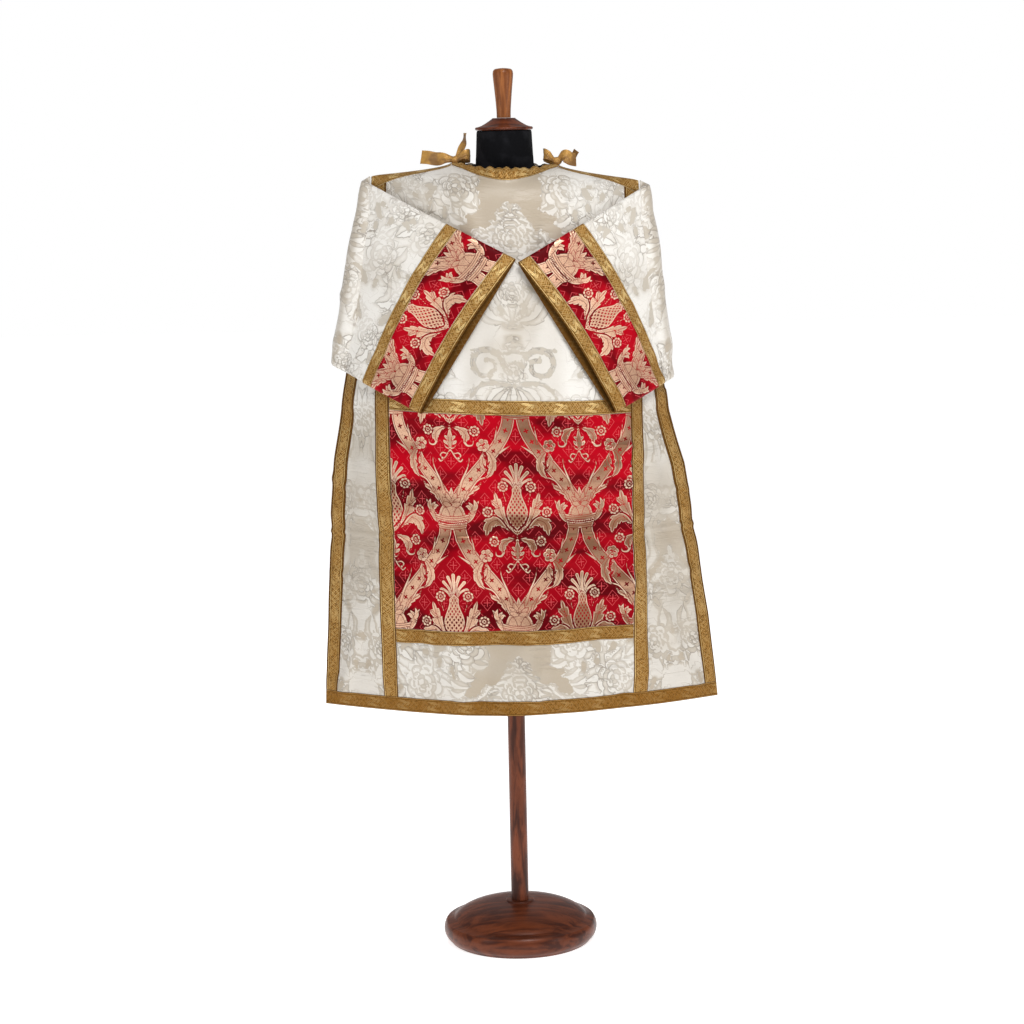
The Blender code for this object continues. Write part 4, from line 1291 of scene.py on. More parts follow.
braidFinish = {
    "bright": (0.88, 0.64, 0.28),
    "gold": (0.265, 0.116, 0.016),
    "dark": (0.085, 0.034, 0.006),
    "aged": (0.205, 0.078, 0.005),
    "wanderScale": 34,
    "wander": (0.005, 0.0022),  # of the figure, along and across
    "period": 0.0635,
    # one leaf of each pair: along and across from the middle, turn, half length, half width
    "leaves": ((0.0006, 0.0066, 0.16, 0.0132, 0.0025), (0.0098, -0.0012, -0.55, 0.0058, 0.0016),
               (-0.0118, 0.005, 0.95, 0.0042, 0.0016)),
    "roundness": (1.5, 1.3),
    "tooth": 0.0013,
    "toothDepth": 260,
    "leafEdge": (0.95, 1.15),
    "vein": (0.0002, 0.0006, 0.25),
    "barLean": 1.2,
    "barApart": 0.0019,
    "bar": (0.001, 0.0005),
    "barEnd": (0.0056, 0.0066),
    "lozenge": 0.0054,
    "lozengeLean": (-0.8, 0.8),
    "net": (0.0008, 0.0005),
    "netFrom": (0.011, 0.015, 0.25),
    "netShare": 0.42,
    "twill": 0.0046,
    "twillLean": 0.9,
    "twillEdge": (-0.5, 0.8),
    "twillShare": 0.36,
    "border": (0.0034, 0.004),  # from the edges, as the next three
    "stripe": 0.0014,
    "groove": 0.003,
    "rolled": (0.0002, 0.0009, 0.8),
    "stripeWidth": (0.0006, 0.0003),
    "grooveWidth": (0.0005, 0.0003),
    "stripeShare": 0.75,
    "grooveShare": 0.8,
    "grainScale": 300,
    "wornScale": 22,
    "worn": (-1, 0.6, 0.55, 1),
    "glint": (0.52, 0.72, 0, 0.3),
    "dull": (0.34, 0.5, 0.75),
    "dullLit": 0.4,
    "grainHeight": 0.9,
    "twillHeight": 0.35,
    "roughness": (0, 1, 0.52, 0.36),
    "metallic": (0, 1, 0.25, 0.55),
    "bump": 0.0005,
}


def makeBraid():
    # galloon: leaf pairs joined by twin bars, a net of lozenges, twill behind, corded edges
    finish = SimpleNamespace(**braidFinish)
    startMaterial("goldGalloon", Specular_IOR_Level=0.05)
    given = attribute("flat")
    flat = split(given)
    wander = split(noise(given, finish.wanderScale, 1)[1])
    along, aside = (timesPlus(minus(wander[n], 0.5), finish.wander[n], flat[n])
                    for n in (0, 1))
    away = size(aside)
    inset = minus(flat[2], size(flat[1]))
    dimmed, darkness, _ = split(attribute("weave"))
    period = finish.period
    cell = minus(wrapped(along, period), period / 2)
    figure = []
    for side, (out, off, tilt, length, width) in itertools.product((-1, 1), finish.leaves):
        x, y = minus(cell, side * out), minus(aside, side * off)
        tallX = timesPlus(x, math.cos(tilt), times(y, math.sin(tilt)))
        tallY = timesPlus(y, math.cos(tilt), times(x, -math.sin(tilt)))
        teeth = pingPong(tallX, finish.tooth)
        far = plus(toPower(size(shareOf(tallX, length)), finish.roundness[0]),
                   toPower(size(shareOf(tallY, width)), finish.roundness[1]))
        one = below(timesPlus(teeth, finish.toothDepth, far), *finish.leafEdge)
        one = times(one, ramp(size(tallY), *finish.vein))
        figure = larger(figure, one) if figure else one
    bar = minus(size(timesPlus(aside, finish.barLean, cell)), finish.barApart)
    bar = times(lineMask(bar, *finish.bar), below(away, *finish.barEnd))
    figure = larger(figure, bar)
    # the figure dimmed as listed for each strip, on the upright strips as painted loss of sheen
    figure = times(figure, minus(1, dimmed))
    near = ramp(size(cell), *finish.netFrom)
    net = larger(*(lineMask(pingPong(timesPlus(aside, slant, along), finish.lozenge),
                            *finish.net) for slant in finish.lozengeLean))
    net = times(net, times(near, finish.netShare))
    slanted = plus(along, times(away, finish.twillLean))
    twill = ramp(sine(times(slanted, 2 * math.pi / finish.twill)), *finish.twillEdge)
    border = below(inset, *finish.border)
    stripes = lineMask(minus(inset, finish.stripe), *finish.stripeWidth)
    groove = lineMask(minus(inset, finish.groove), *finish.grooveWidth)
    field = times(twill, minus(1, border))
    grains = noise(given, finish.grainScale, 3)[0]
    worn = mottled(given, finish.wornScale)
    lit = larger(times(field, finish.twillShare), times(stripes, finish.stripeShare))
    lit = larger(lit, larger(figure, net))
    lit = times(lit, ramp(worn, *finish.worn))
    lit = larger(lit, ramp(grains, *finish.glint))
    colour = blend(lit, finish.gold, finish.bright)
    shade = minus(below(grains, *finish.dull), times(lit, finish.dullLit))
    shade = larger(shade, below(inset, *finish.rolled))
    shade = larger(shade, times(groove, finish.grooveShare))
    # darker as listed for each strip
    colour = blend(darkness, colour, finish.aged)
    colour = blend(shade, colour, finish.dark)
    height = timesPlus(grains, finish.grainHeight, lit)
    height = timesPlus(twill, finish.twillHeight, height)
    return finished(height, finish.bump, 0.8, Base_Color=colour,
                    Roughness=ramp(lit, *finish.roughness), Metallic=ramp(lit, *finish.metallic))


ribbonFinish = {"light": (0.5, 0.26, 0.05), "dark": (0.2, 0.09, 0.014),
                "threads": 1100, "rib": 0.0016, "ribHeight": 0.5, "slowScale": 40,
                "metallic": (-1, 1, 0.3, 0.15)}


def makeRibbonSatin():
    startMaterial("goldSatin", Sheen_Weight=0.2, Roughness=0.36)
    flat = attribute("flat")
    fine = useGroup(threads, Flat=flat, Threads_per_Metre=ribbonFinish["threads"])
    rib = sine(times(split(flat)[1], 2 * math.pi / ribbonFinish["rib"]))
    slow = mottled(flat, ribbonFinish["slowScale"])
    colour = blend(ramp(slow, -1, 1), ribbonFinish["light"], ribbonFinish["dark"])
    height = timesPlus(rib, ribbonFinish["ribHeight"], fine["Height"])
    return finished(height, 0.0002, 0.7, Base_Color=colour,
                    Metallic=ramp(slow, *ribbonFinish["metallic"]))


jerseyFinish = {"base": (0.0035, 0.0035, 0.0045), "worn": (0.01, 0.01, 0.012),
                "knit": 260, "wornScale": 30, "wornPart": (-0.6, 1)}


def makeJersey():
    startMaterial("blackJersey", Specular_IOR_Level=0.08, Roughness=0.8)
    spot = place("TexCoord").outputs["Object"]
    knit = place("TexWave", {"Vector": spot, "Scale": jerseyFinish["knit"], "Distortion": 1.5,
                             "Detail": 1}, bands_direction="X").outputs[1]
    worn = ramp(mottled(spot, jerseyFinish["wornScale"]), *jerseyFinish["wornPart"])
    return finished(knit, 0.0003, 0.7,
                    Base_Color=blend(worn, jerseyFinish["base"], jerseyFinish["worn"]))


woodGloss = {"Coat_Weight": 0.06, "Coat_Roughness": 0.2, "Specular_IOR_Level": 0.2}
woodWear = {"figure": (0.35, 0.65), "poreFineness": 9, "pores": (0.55, 0.75),
            "slowScale": 12, "slowShare": 0.2, "poreShare": 0.5,
            "roughness": (0, 1, 0.34, 0.5), "poreDepth": -0.0002}
woods = {
    "mahogany": {"dark": (0.045, 0.01, 0.004), "light": (0.2, 0.05, 0.018),
                 "rings": 70, "stretch": 0.16, "lying": False},
    "board": {"dark": (0.055, 0.012, 0.005), "light": (0.165, 0.04, 0.014),
              "rings": 60, "stretch": 0.07, "lying": True},
    "lightWood": {"dark": (0.165, 0.048, 0.012), "light": (0.345, 0.12, 0.033),
                  "rings": 90, "stretch": 0.1, "lying": False},
}


def makeGrainGroup():
    # wood grain that runs along Z, with fine pores
    given = startGroup("grain", ("Figure", "Pores"),
                       {"Coordinates": None, "Rings": 60, "Stretch": 0.12})
    x, y, z = split(given["Coordinates"])
    drawn = place("CombineXYZ", {0: x, 1: y, 2: times(z, given["Stretch"])}).outputs[0]
    figure = noise(drawn, given["Rings"], 4, Distortion=0.8)[0]
    pores = noise(drawn, times(given["Rings"], woodWear["poreFineness"]), 2)[0]
    return endGroup(Figure=ramp(figure, *woodWear["figure"]),
                    Pores=ramp(pores, *woodWear["pores"]))


grain = makeGrainGroup()


def makeWood(name):
    wood = woods[name]
    startMaterial(name, **woodGloss)
    spot = place("TexCoord").outputs["Object"]
    if wood["lying"]:  # the grain runs level, not upright
        x, y, z = split(spot)
        spot = place("CombineXYZ", {0: y, 1: z, 2: x}).outputs[0]
    found = useGroup(grain, Coordinates=spot, Rings=wood["rings"], Stretch=wood["stretch"])
    slow = mottled(spot, woodWear["slowScale"])
    mixed = timesPlus(slow, woodWear["slowShare"], found["Figure"])
    colour = blend(mixed, wood["dark"], wood["light"])
    colour = blend(times(found["Pores"], woodWear["poreShare"]), colour, wood["dark"])
    return finished(found["Pores"], woodWear["poreDepth"], 0.3, Base_Color=colour,
                    Roughness=ramp(found["Pores"], *woodWear["roughness"]))


finishes = {
    "damask": makeDamask(),
    "lampas": makeLampas(),
    "braid": makeBraid(),
    "satin": makeRibbonSatin(),
    "jersey": makeJersey(),
    **{name: makeWood(name) for name in woods},
}
print("finishes made:", len(finishes))


# Creases of the hung panels, as ridges and hollows seen from outside. Each row is the
# two ends (x, z), the half width and the height, in millimetres.

creases = {
    "both": (
        (-400, 822, 400, 822, 26, -2.5), (-400, 824, 400, 824, 4.5, 1.5),
    ),
    "front": (
        (-116, 1070, -104, 560, 30, 3.4), (-34, 1050, -20, 600, 20, -3),
        (26, 1060, 22, 620, 18, 2.6), (128, 1050, 150, 600, 32, -3.8),
        (208, 1100, 240, 560, 24, 3.2), (-236, 1080, -262, 560, 26, 3),
        (-190, 1000, -180, 620, 18, -2.2), (-300, 1040, -340, 560, 18, -2.8),
        (286, 1040, 328, 560, 18, -2.6), (255, 940, 262, 600, 14, -1.8),
        (-170, 985, -20, 905, 16, 1.8), (50, 945, 210, 880, 14, -2), (60, 790, 220, 730, 14, 2.4),
        (-200, 775, -50, 705, 15, -1.8), (110, 998, 222, 984, 6, 1.5),
        (125, 972, 232, 952, 7, -1.4), (140, 925, 236, 912, 6, 1.3), (90, 700, 215, 712, 7, 1.4),
        (-228, 905, -120, 918, 6, 1.2), (-225, 880, -150, 868, 6, -1.2),
        (-70, 1430, -20, 1250, 18, 2.2), (70, 1420, 36, 1200, 18, -2.2),
        (-20, 1200, -60, 1090, 16, 1.8), (10, 1160, 80, 1080, 14, 2),
        (-110, 1440, -175, 1330, 16, -2.2), (110, 1440, 180, 1320, 16, 2),
        (-150, 640, -100, 520, 14, 2.2), (-40, 640, -62, 520, 16, -2.2),
        (60, 640, 40, 520, 14, 2.2), (165, 640, 205, 520, 14, -2.4),
        (-290, 640, -330, 520, 12, 2.4), (290, 650, 345, 520, 12, 2.6),
        (-345, 930, -285, 885, 7, 1.3), (-340, 745, -280, 730, 7, 1.2),
        (270, 760, 345, 735, 7, 1.4), (265, 900, 330, 890, 6, 1.2),
    ),
    "back": (
        (-130, 1400, -100, 540, 28, 3.4), (2, 1380, 20, 560, 26, -3.4),
        (126, 1400, 140, 540, 28, 3.4), (-60, 1250, -52, 600, 18, -2.4),
        (70, 1100, 82, 560, 16, -2.2), (232, 1150, 270, 540, 24, 3),
        (-226, 1150, -262, 540, 24, 2.8), (-296, 1040, -340, 540, 16, -2.6),
        (300, 1040, 345, 540, 16, -2.6), (-190, 980, -40, 900, 15, 1.8),
        (40, 960, 200, 870, 14, -1.8), (-200, 740, -60, 790, 14, 1.8), (60, 720, 215, 760, 14, 2),
        (-110, 1440, -190, 1300, 18, -2.2), (110, 1440, 190, 1290, 18, 2.2),
        (-80, 1400, 60, 1340, 14, 1.8), (-160, 640, -120, 520, 14, 2.2),
        (40, 640, 20, 520, 14, -2.2), (190, 640, 220, 520, 14, 2.4),
    ),
    # slow waves of the hanging cloth: along x, along z (radians a metre), start, height
    "swells": (
        (31, 9, 0.4, 0.0007), (-17, 21, 2.1, 0.0008), (52, -14, 1.2, 0.0005), (11, 47, 4, 0.0005),
        (-63, 33, 5.1, 0.0003)),
    "swellShift": {"front": 0, "back": 1.7},
    "strength": 2.1,
    "fade": 0.05,  # under the shoulder line
    "seamFade": 0.03,
}
neckFall = {
    "down": 0.008,  # how far the front of the neck sags
    "sagFrom": 0.045,  # and how far out, with the distance over which it ends
    "sagRun": 0.06,
    "slip": (0.0065, 0.005),  # forward and down along the cloth
    "tilt": (0.0055, 0.012),  # forward and up at the edge itself
    "tiltReach": 0.034,
    "reach": 0.1,
    "ripple": 0.0017,  # gathers under the neck galloon
    "waves": (370, 233),  # radians a metre
    "rippleFrom": 0.014,
    "rippleRun": 0.016,
    "rippleIn": 0.03,  # from the sides of the neck
    "rippleInRun": 0.025,
    "share": {"front": 1, "back": 0.35},
}


def creaseOffset(face, points):
    x, z = points[..., 0], points[..., 2]
    total = np.zeros(x.shape)
    for alongX, alongZ, start, height in creases["swells"]:
        total += height * np.sin(alongX * x + alongZ * z + start
                                 + creases["swellShift"][face] * alongX)
    for row in creases["both"] + creases[face]:
        x0, z0, x1, z1, half, height = metres(row)
        runX, runZ = x1 - x0, z1 - z0
        t = ((x - x0) * runX + (z - z0) * runZ) / (runX * runX + runZ * runZ)
        t = np.clip(t, 0, 1)
        away = np.hypot(x - x0 - t * runX, z - z0 - t * runZ)
        total += creases["strength"] * height * bell(away, half)
    level = z - lean(x, z)
    held = rise(shoulderHeight(x) - level, 0, creases["fade"])
    seam = np.where(level > body["underarm"] - creases["fade"],
                    rise(edgeOf(x, level) - np.abs(x), 0, creases["seamFade"]), 1)
    return total * held * seam


def neckShift(face, x, drop):
    # how the edge of the neck stands out and sags, as (y, z)
    middle = np.sqrt(np.clip(1 - (x / body["neckHalfWidth"]) ** 2, 0, 1))
    wide = fall(np.abs(x), neckFall["sagFrom"], neckFall["sagRun"])
    fade, edge = (fall(drop, 0, neckFall[key]) for key in ("reach", "tiltReach"))
    share = neckFall["share"][face]
    slip, tilt = neckFall["slip"], neckFall["tilt"]
    away = middle * (slip[0] * fade + tilt[0] * edge) * share
    up = middle * (tilt[1] * edge - slip[1] * fade) * share
    down = neckFall["down"] * wide * fade * (face == "front")
    return (-away if face == "front" else away), up - down


def clothGrid(face, columns, drops, lift=0):
    # (points, normals, flat coordinates) of a sheet that lies on a panel
    flip = face == "back"
    points, flat = hangGrid(face, columns, drops)
    drop = np.broadcast_to(drops[:, None], points.shape[:2])
    x = points[..., 0].copy()
    y, z = neckShift(face, x, drop)
    quick, slow = neckFall["waves"]
    gather = np.sin(x * quick + 0.8 * np.sin(x * 61)) + 0.6 * np.sin(x * slow + 1.3)
    gather = gather * fall(drop, neckFall["rippleFrom"], neckFall["rippleRun"])
    gather = gather * fall(np.abs(x), body["neckHalfWidth"] - neckFall["rippleIn"],
                           neckFall["rippleInRun"]) * neckFall["ripple"]
    offset = creaseOffset(face, points) + gather
    points = points + gridNormals(points, flip=flip) * offset[..., None]
    points[..., 1] += y
    points[..., 2] += z
    normals = gridNormals(points, flip=flip)
    return points + normals * lift, normals, flat


def asGrid(values, grid):
    return values.reshape(*grid.shape[:2], 3)


def damaskFields(flat):
    return {"flat": flat, "weave": asGrid(damaskPattern(flat.reshape(-1, 3)), flat)}


def lampasFields(flat):
    fields = lampasPattern(flat.reshape(-1, 3))
    return {**{key: asGrid(values, flat) for key, values in fields.items()}, "flat": flat}


def makePanel(face):
    widest = section("left", body["hem"]) + section("right", body["hem"])
    step = cloth["grid"] * cloth["coarser"][face]
    columns = [shareColumn(share) for share in spaced(-1, 1, 2 * step / widest)]
    points, normals, flat = clothGrid(face, columns, spaced(0, hemDrop, step))
    flat[..., 0] *= -1 if face == "back" else 1
    sheetPiece(face + "Panel", "damask", points, normals, damaskFields(flat),
               flip=face == "back")


apparel = {"middle": 0.0095, "centre": 0.6488}  # place of the middle pineapple's centre


def makeApparel(face):
    free = cloth["free"]
    half = body["clavusInner"] - free
    step = cloth["lampasGrid"] * cloth["lampasCoarser"][face]
    drops = spaced(dropAt(body["apparelTop"]) + free, dropAt(body["apparelBottom"]) - free, step)
    points, normals, flat = clothGrid(face, fixedColumns(-half, half, step), drops,
                                      cloth["lift"])
    side = 1 if face == "front" else -1
    local = np.stack([side * flat[..., 0] - apparel["middle"], apparel["centre"] - flat[..., 1],
                      flat[..., 2]], axis=-1)
    sheetPiece(face + "Apparel", "lampas", points, normals, lampasFields(local),
               flip=face == "back")


galloonDimming = {  # how far the figure is dimmed, and how much darker the strip is: on the upright strips the dimmed figure is painted loss of sheen, as their threads run down the cloth
    "upright": (0.6, 0), "HemGalloon": (0.3, 0.62), "LowerGalloon": (0.22, 0.4),
}


def makeGalloons(face):
    free, wide, grid = cloth["free"], body["galloon"], cloth["braidGrid"]
    inner, outer = body["clavusInner"], body["clavusOuter"]
    neck, sideWide = body["neckHalfWidth"], body["sideGalloon"]
    band = wide - cloth["bandShort"]
    level = dropAt(body["hem"] + wide)
    top, bottom = dropAt(body["apparelTop"]), dropAt(body["apparelBottom"])

    def strip(name, columns, drops, upright=False, width=wide):
        # a strip of galloon: upright says that it runs down the cloth
        points, normals, flat = clothGrid(face, columns, drops, cloth["lift"])
        along, across = (flat[..., n] for n in ((1, 0) if upright else (0, 1)))
        middle = across.mean(axis=1 if upright else 0, keepdims=True)
        braid = np.stack([along, across - middle, np.full(along.shape, width / 2)], axis=-1)
        dimming = np.zeros(braid.shape)
        dimming[..., :2] = galloonDimming.get("upright" if upright else name, (0, 0))
        sheetPiece(face + name, "braid", points, normals, {"flat": braid, "weave": dimming},
                   flip=face == "back", steps=(3, 2))

    across = fixedColumns(-inner + free, inner - free, grid)
    strip("NeckGalloon", fixedColumns(-neck + free, neck - free, cloth["grid"]),
          spaced(0, band, cloth["grid"]))
    strip("HemGalloon", [shareColumn(share) for share in spaced(-1, 1, cloth["hemShare"])],
          spaced(level, hemDrop, grid))
    strip("UpperGalloon", across, spaced(top - wide, top - free, grid))
    strip("LowerGalloon", across, spaced(bottom + free, bottom + wide, grid))
    for side, word in ((-1, "Left"), (1, "Right")):
        ends = sorted((side * (inner + free), side * (outer - free)))
        strip("Clavus" + word, fixedColumns(*ends, grid),
              spaced(band + free, level - free, grid), True)
        ends = sorted((side * (neck + free), side * body["shoulderEnd"]))
        strip("ShoulderGalloon" + word, fixedColumns(*ends, grid),
              spaced(0, band - free, grid))
        shares = (0, 1 - free / sideWide)[::-side]
        strip("SideGalloon" + word,
              [sideBandColumn(side, share) for share in spaced(*shares, cloth["sideShare"])],
              spaced(dropAt(body["underarm"]) + cloth["sideStart"], level - free, grid), True,
              sideWide)


for face in ("front", "back"):
    makePanel(face)
    makeApparel(face)
    makeGalloons(face)
    print(face, "cloth made")


# Sleeves: flat tubes folded forward over the chest. Corners are (x, z) from the front. Soft
# rumples: share down the armhole, distance back from the cuff, half widths in both, height
# (all in thousandths), on the layer that shows.

sleeves = {
    "left": {
        "foldTop": (-0.266, 1.486), "foldBottom": (-0.334, 1.14),
        "cuffTop": (0.0145, 1.339), "cuffBottom": (-0.165, 1.06), "sign": -1,
        "rumples": (
            (350, 260, 100, 50, 3.4), (700, 220, 80, 60, -3), (150, 300, 70, 50, -3),
            (550, 330, 120, 30, 2.8), (880, 300, 50, 70, 3), (260, 200, 40, 90, -2.2),
            (480, 170, 50, 40, -2.2), (620, 280, 30, 80, 2.4), (930, 50, 60, 40, 4),
            (800, 100, 50, 50, -3), (300, 80, 90, 50, 2.2), (550, 60, 60, 40, -2.4),
        ),
    },
    "right": {
        "foldTop": (0.268, 1.468), "foldBottom": (0.31, 1.103),
        "cuffTop": (0.0225, 1.333), "cuffBottom": (0.195, 1.052), "sign": 1,
        "rumples": (
            (300, 240, 90, 50, 3.2), (620, 280, 100, 50, -3), (820, 220, 60, 60, 2.8),
            (450, 340, 90, 30, -2.8), (140, 270, 50, 60, -2.6), (520, 190, 40, 70, 2.4),
            (720, 330, 30, 60, 2.6), (920, 160, 50, 60, -2.6), (920, 40, 60, 40, 3.6),
            (760, 80, 50, 50, -3), (240, 60, 70, 60, 2.4), (460, 90, 60, 40, -2.6),
        ),
    },
}
tube = {
    "standOff": 0.0018,
    "foldReach": 0.02,
    "clearAtFold": 0.027,
    "clearAtCuff": 0.0165,
    "clearReach": 0.16,
    "halfAtFold": 0.0065,
    "halfAtCuff": 0.0068,
    "halfOfCrease": 0.003,
    "thickening": 0.0032,  # more at the cuff's lower end
    "halfLeast": 0.0018,
    "opening": 0.035,
    "pull": 0.011,
    "pullFade": 0.1,
    "edgeRound": 0.003,
    "galloon": 0.024,
    "apparel": 0.096,
    "columns": 72,  # of the middle surface, down the armhole
    "steps": 240,  # of the middle surface, from armhole to cuff
    "close": (0, 0.00025, 0.001, 0.0021, 0.0036, 0.0056),  # places next to a fold
    "grid": (0.0033, 0.0035, 0.004),  # round the tube, next to the armhole and the cuff
    "plainShare": 0.02,
    "lampasGrid": 0.0018,
    "braidGrid": (0.0045, 0.004),  # round the tube, along it
    "insideGrid": 0.006,
    "turnAngles": (20, 55, 90, 125, 160),  # of the binding, round the cuff's end
    "lensPower": 3,
    "girth": 0.35,  # nearly, for the fading of the rumples at the folds
    "rumpleFade": 0.02,
    "turn": 0.042,  # closer rows next to the armhole
    "soilHalf": 0.007,  # painted shade along the fold, where the tube turns away
    "soil": 2,
    "flat": (0.06, 0.02),  # place on the damask's repeat
    # girth from the top fold, and distance back from the cuff's end, of a pineapple's centre
    "pineapple": (0.171, 0.0665),
    "facing": 0.2,  # marks the cuffs' lampas for its material, which paints fewer dark reflections and no shaded side there
}
cuffBack = 2 * tube["galloon"] + tube["apparel"]


def bilinear(grid, rows, columns):
    row = np.minimum(rows.astype(int), grid.shape[0] - 2)
    column = np.minimum(columns.astype(int), grid.shape[1] - 2)
    down, along = (rows - row)[:, None], (columns - column)[:, None]
    upper, lower = (grid[n, column] * (1 - along) + grid[n, column + 1] * along
                    for n in (row, row + 1))
    return upper * (1 - down) + lower * down


def sleeveMiddle(side):
    # middle surface, from the armhole out over the fold and across the chest
    corners = {key: np.array(value) for key, value in sleeves[side].items() if key[:4] in
               ("fold", "cuff")}
    sign = sleeves[side]["sign"]
    drops = np.linspace(0, dropAt(body["underarm"]), tube["columns"])
    armhole, _ = hangColumn("front", shareColumn(float(sign)), drops)
    heights = armhole[:, 2]
    places = (heights[0] - heights) / (heights[0] - heights[-1])
    middle, lengths = [], []
    for number, share in enumerate(places):
        bend, cuff = (corners[end + "Top"] * (1 - share) + corners[end + "Bottom"] * share
                      for end in ("fold", "cuff"))
        start = np.array([armhole[number, 0] + sign * tube["standOff"], heights[number]])
        reach = np.linalg.norm(cuff - bend)
        across = np.linspace(0, 1, 200) ** 2 * reach
        line = bend + (cuff - bend) * (across / reach)[:, None]
        clear = mix(rise(across, 0, tube["clearReach"]), tube["clearAtFold"],
                    tube["clearAtCuff"])
        level = line[:, 1] - lean(line[:, 0], line[:, 1])
        target = depth("front", line[:, 0], level) + clear
        halfTurn = np.interp(tube["foldReach"], across, target) / 2
        frontY = -mix(quarterRound(across / tube["foldReach"]), halfTurn, target)
        back = 1 - np.linspace(0, 1, 60)[:-1] ** 2
        backLine = bend + (start - bend) * back[:, None]
        backY = -halfTurn * (1 - quarterRound(back))
        whole = np.concatenate([np.stack([backLine[:, 0], backY, backLine[:, 1]], axis=1),
                                np.stack([line[:, 0], frontY, line[:, 1]], axis=1)])
        length = runLength(whole)
        even = np.linspace(0, length[-1], tube["steps"])
        middle.append(np.stack([np.interp(even, length, whole[:, k]) for k in range(3)], axis=1))
        lengths.append(length[-1])
    middle = np.stack(middle)
    normal = unit(np.cross(np.gradient(middle, axis=1), np.gradient(middle, axis=0))) * -sign
    return {"middle": middle, "normal": normal, "places": places, "lengths": np.array(lengths),
            "armholeDepth": np.maximum(np.abs(armhole[:, 1]), tube["halfLeast"]),
            "girth": heights[0] - heights[-1], "rumples": sleeves[side]["rumples"],
            "flip": side == "right"}


def ringPlaces(girth, step):
    # places round the tube: (share down the armhole, layer), closer together at its folds
    close = np.array(tube["close"]) / girth
    inside = spaced(close[-1], 1 - close[-1], step / girth)[1:-1]
    down = np.concatenate([close, inside, 1 - close[::-1]])
    shares = np.concatenate([down, down[-2:0:-1]])
    layers = np.concatenate([np.ones(len(down)), -np.ones(len(down) - 2)])
    return shares, layers


def sleevePoints(sleeve, rows, shares, layers):
    # rows is a list of functions that give the distance back from the cuff's end at each place
    grid, flat = [], []
    rowLengths, armholeDepth, number = (
        np.interp(shares, sleeve["places"], values) for values in
        (sleeve["lengths"], sleeve["armholeDepth"], np.arange(len(sleeve["places"]))))
    lens = np.sqrt(np.clip(1 - np.abs(2 * shares - 1) ** tube["lensPower"], 0, 1))
    edge = np.minimum(shares, 1 - shares) * sleeve["girth"]
    rounded = quarterRound(edge / (tube["edgeRound"] * (1 + rise(shares, 0.6, 0.3))))
    for row in rows:
        back = row(rowLengths)
        pull = np.where(layers < 0, tube["pull"] * np.sin(math.pi * shares), 0)
        pull = pull * fall(back, tube["pullFade"], rowLengths - tube["pullFade"])
        share = np.clip(1 - (back + pull) / rowLengths, 0, 1)
        middle, normal = (bilinear(sleeve[key], number, share * (tube["steps"] - 1))
                          for key in ("middle", "normal"))
        thick = rise(shares, 0.55, 0.45) * rise(share, 0.45, 0.5)
        crease = tube["halfOfCrease"] + tube["thickening"] * thick
        half = np.maximum(mix(share, tube["halfAtFold"], tube["halfAtCuff"]), crease)
        half = mix(lens, crease, half)
        opened = rise(share * rowLengths, 0, tube["opening"])
        half = (armholeDepth * (1 - opened) + half * opened) * rounded
        grid.append(middle + unit(normal) * (layers * half)[:, None])
        flat.append(np.stack([back, back * 0, back * 0], axis=1))
    grid, flat = np.stack(grid), np.stack(flat)
    # girth from the top fold along the cloth, negative on the layer at the body's side
    steps = np.linalg.norm(np.diff(np.concatenate([grid, grid[:, :1]], axis=1), axis=1), axis=2)
    along = np.concatenate([np.zeros((len(grid), 1)), np.cumsum(steps, axis=1)], axis=1)
    flat[..., 1] = np.where(layers > 0, -along[:, :-1], along[:, -1:] - along[:, :-1])
    return grid, flat


def sleeveGrid(sleeve, rows, step, lift=0, turned=False):
    # (points, normals, flat coordinates) round the rumpled tube; turned rows run outward
    shares, layers = ringPlaces(sleeve["girth"], step)
    flip = sleeve["flip"] != turned
    grid, flat = sleevePoints(sleeve, rows, shares, layers)
    offset = np.zeros(grid.shape[:2])
    for row in sleeve["rumples"]:
        share, back, wide, tall, height = metres(row)
        away = ((shares - share) / wide)[None, :] ** 2 + ((flat[..., 0] - back) / tall) ** 2
        offset += height * np.exp(-away) * (layers < 0)
    edge = np.minimum(shares, 1 - shares) * tube["girth"]
    offset = offset * rise(edge, 0, tube["rumpleFade"])[None, :]
    grid = grid + gridNormals(grid, True, flip) * offset[..., None]
    normals = gridNormals(grid, True, flip)
    return grid + normals * lift, normals, flat


def fromArmhole(distance):
    return lambda lengths: lengths - distance


def plainShare(share):
    return lambda lengths: cuffBack + (lengths - cuffBack - tube["turn"]) * (1 - share)


def fromCuff(distance):
    return lambda lengths: distance + 0 * lengths


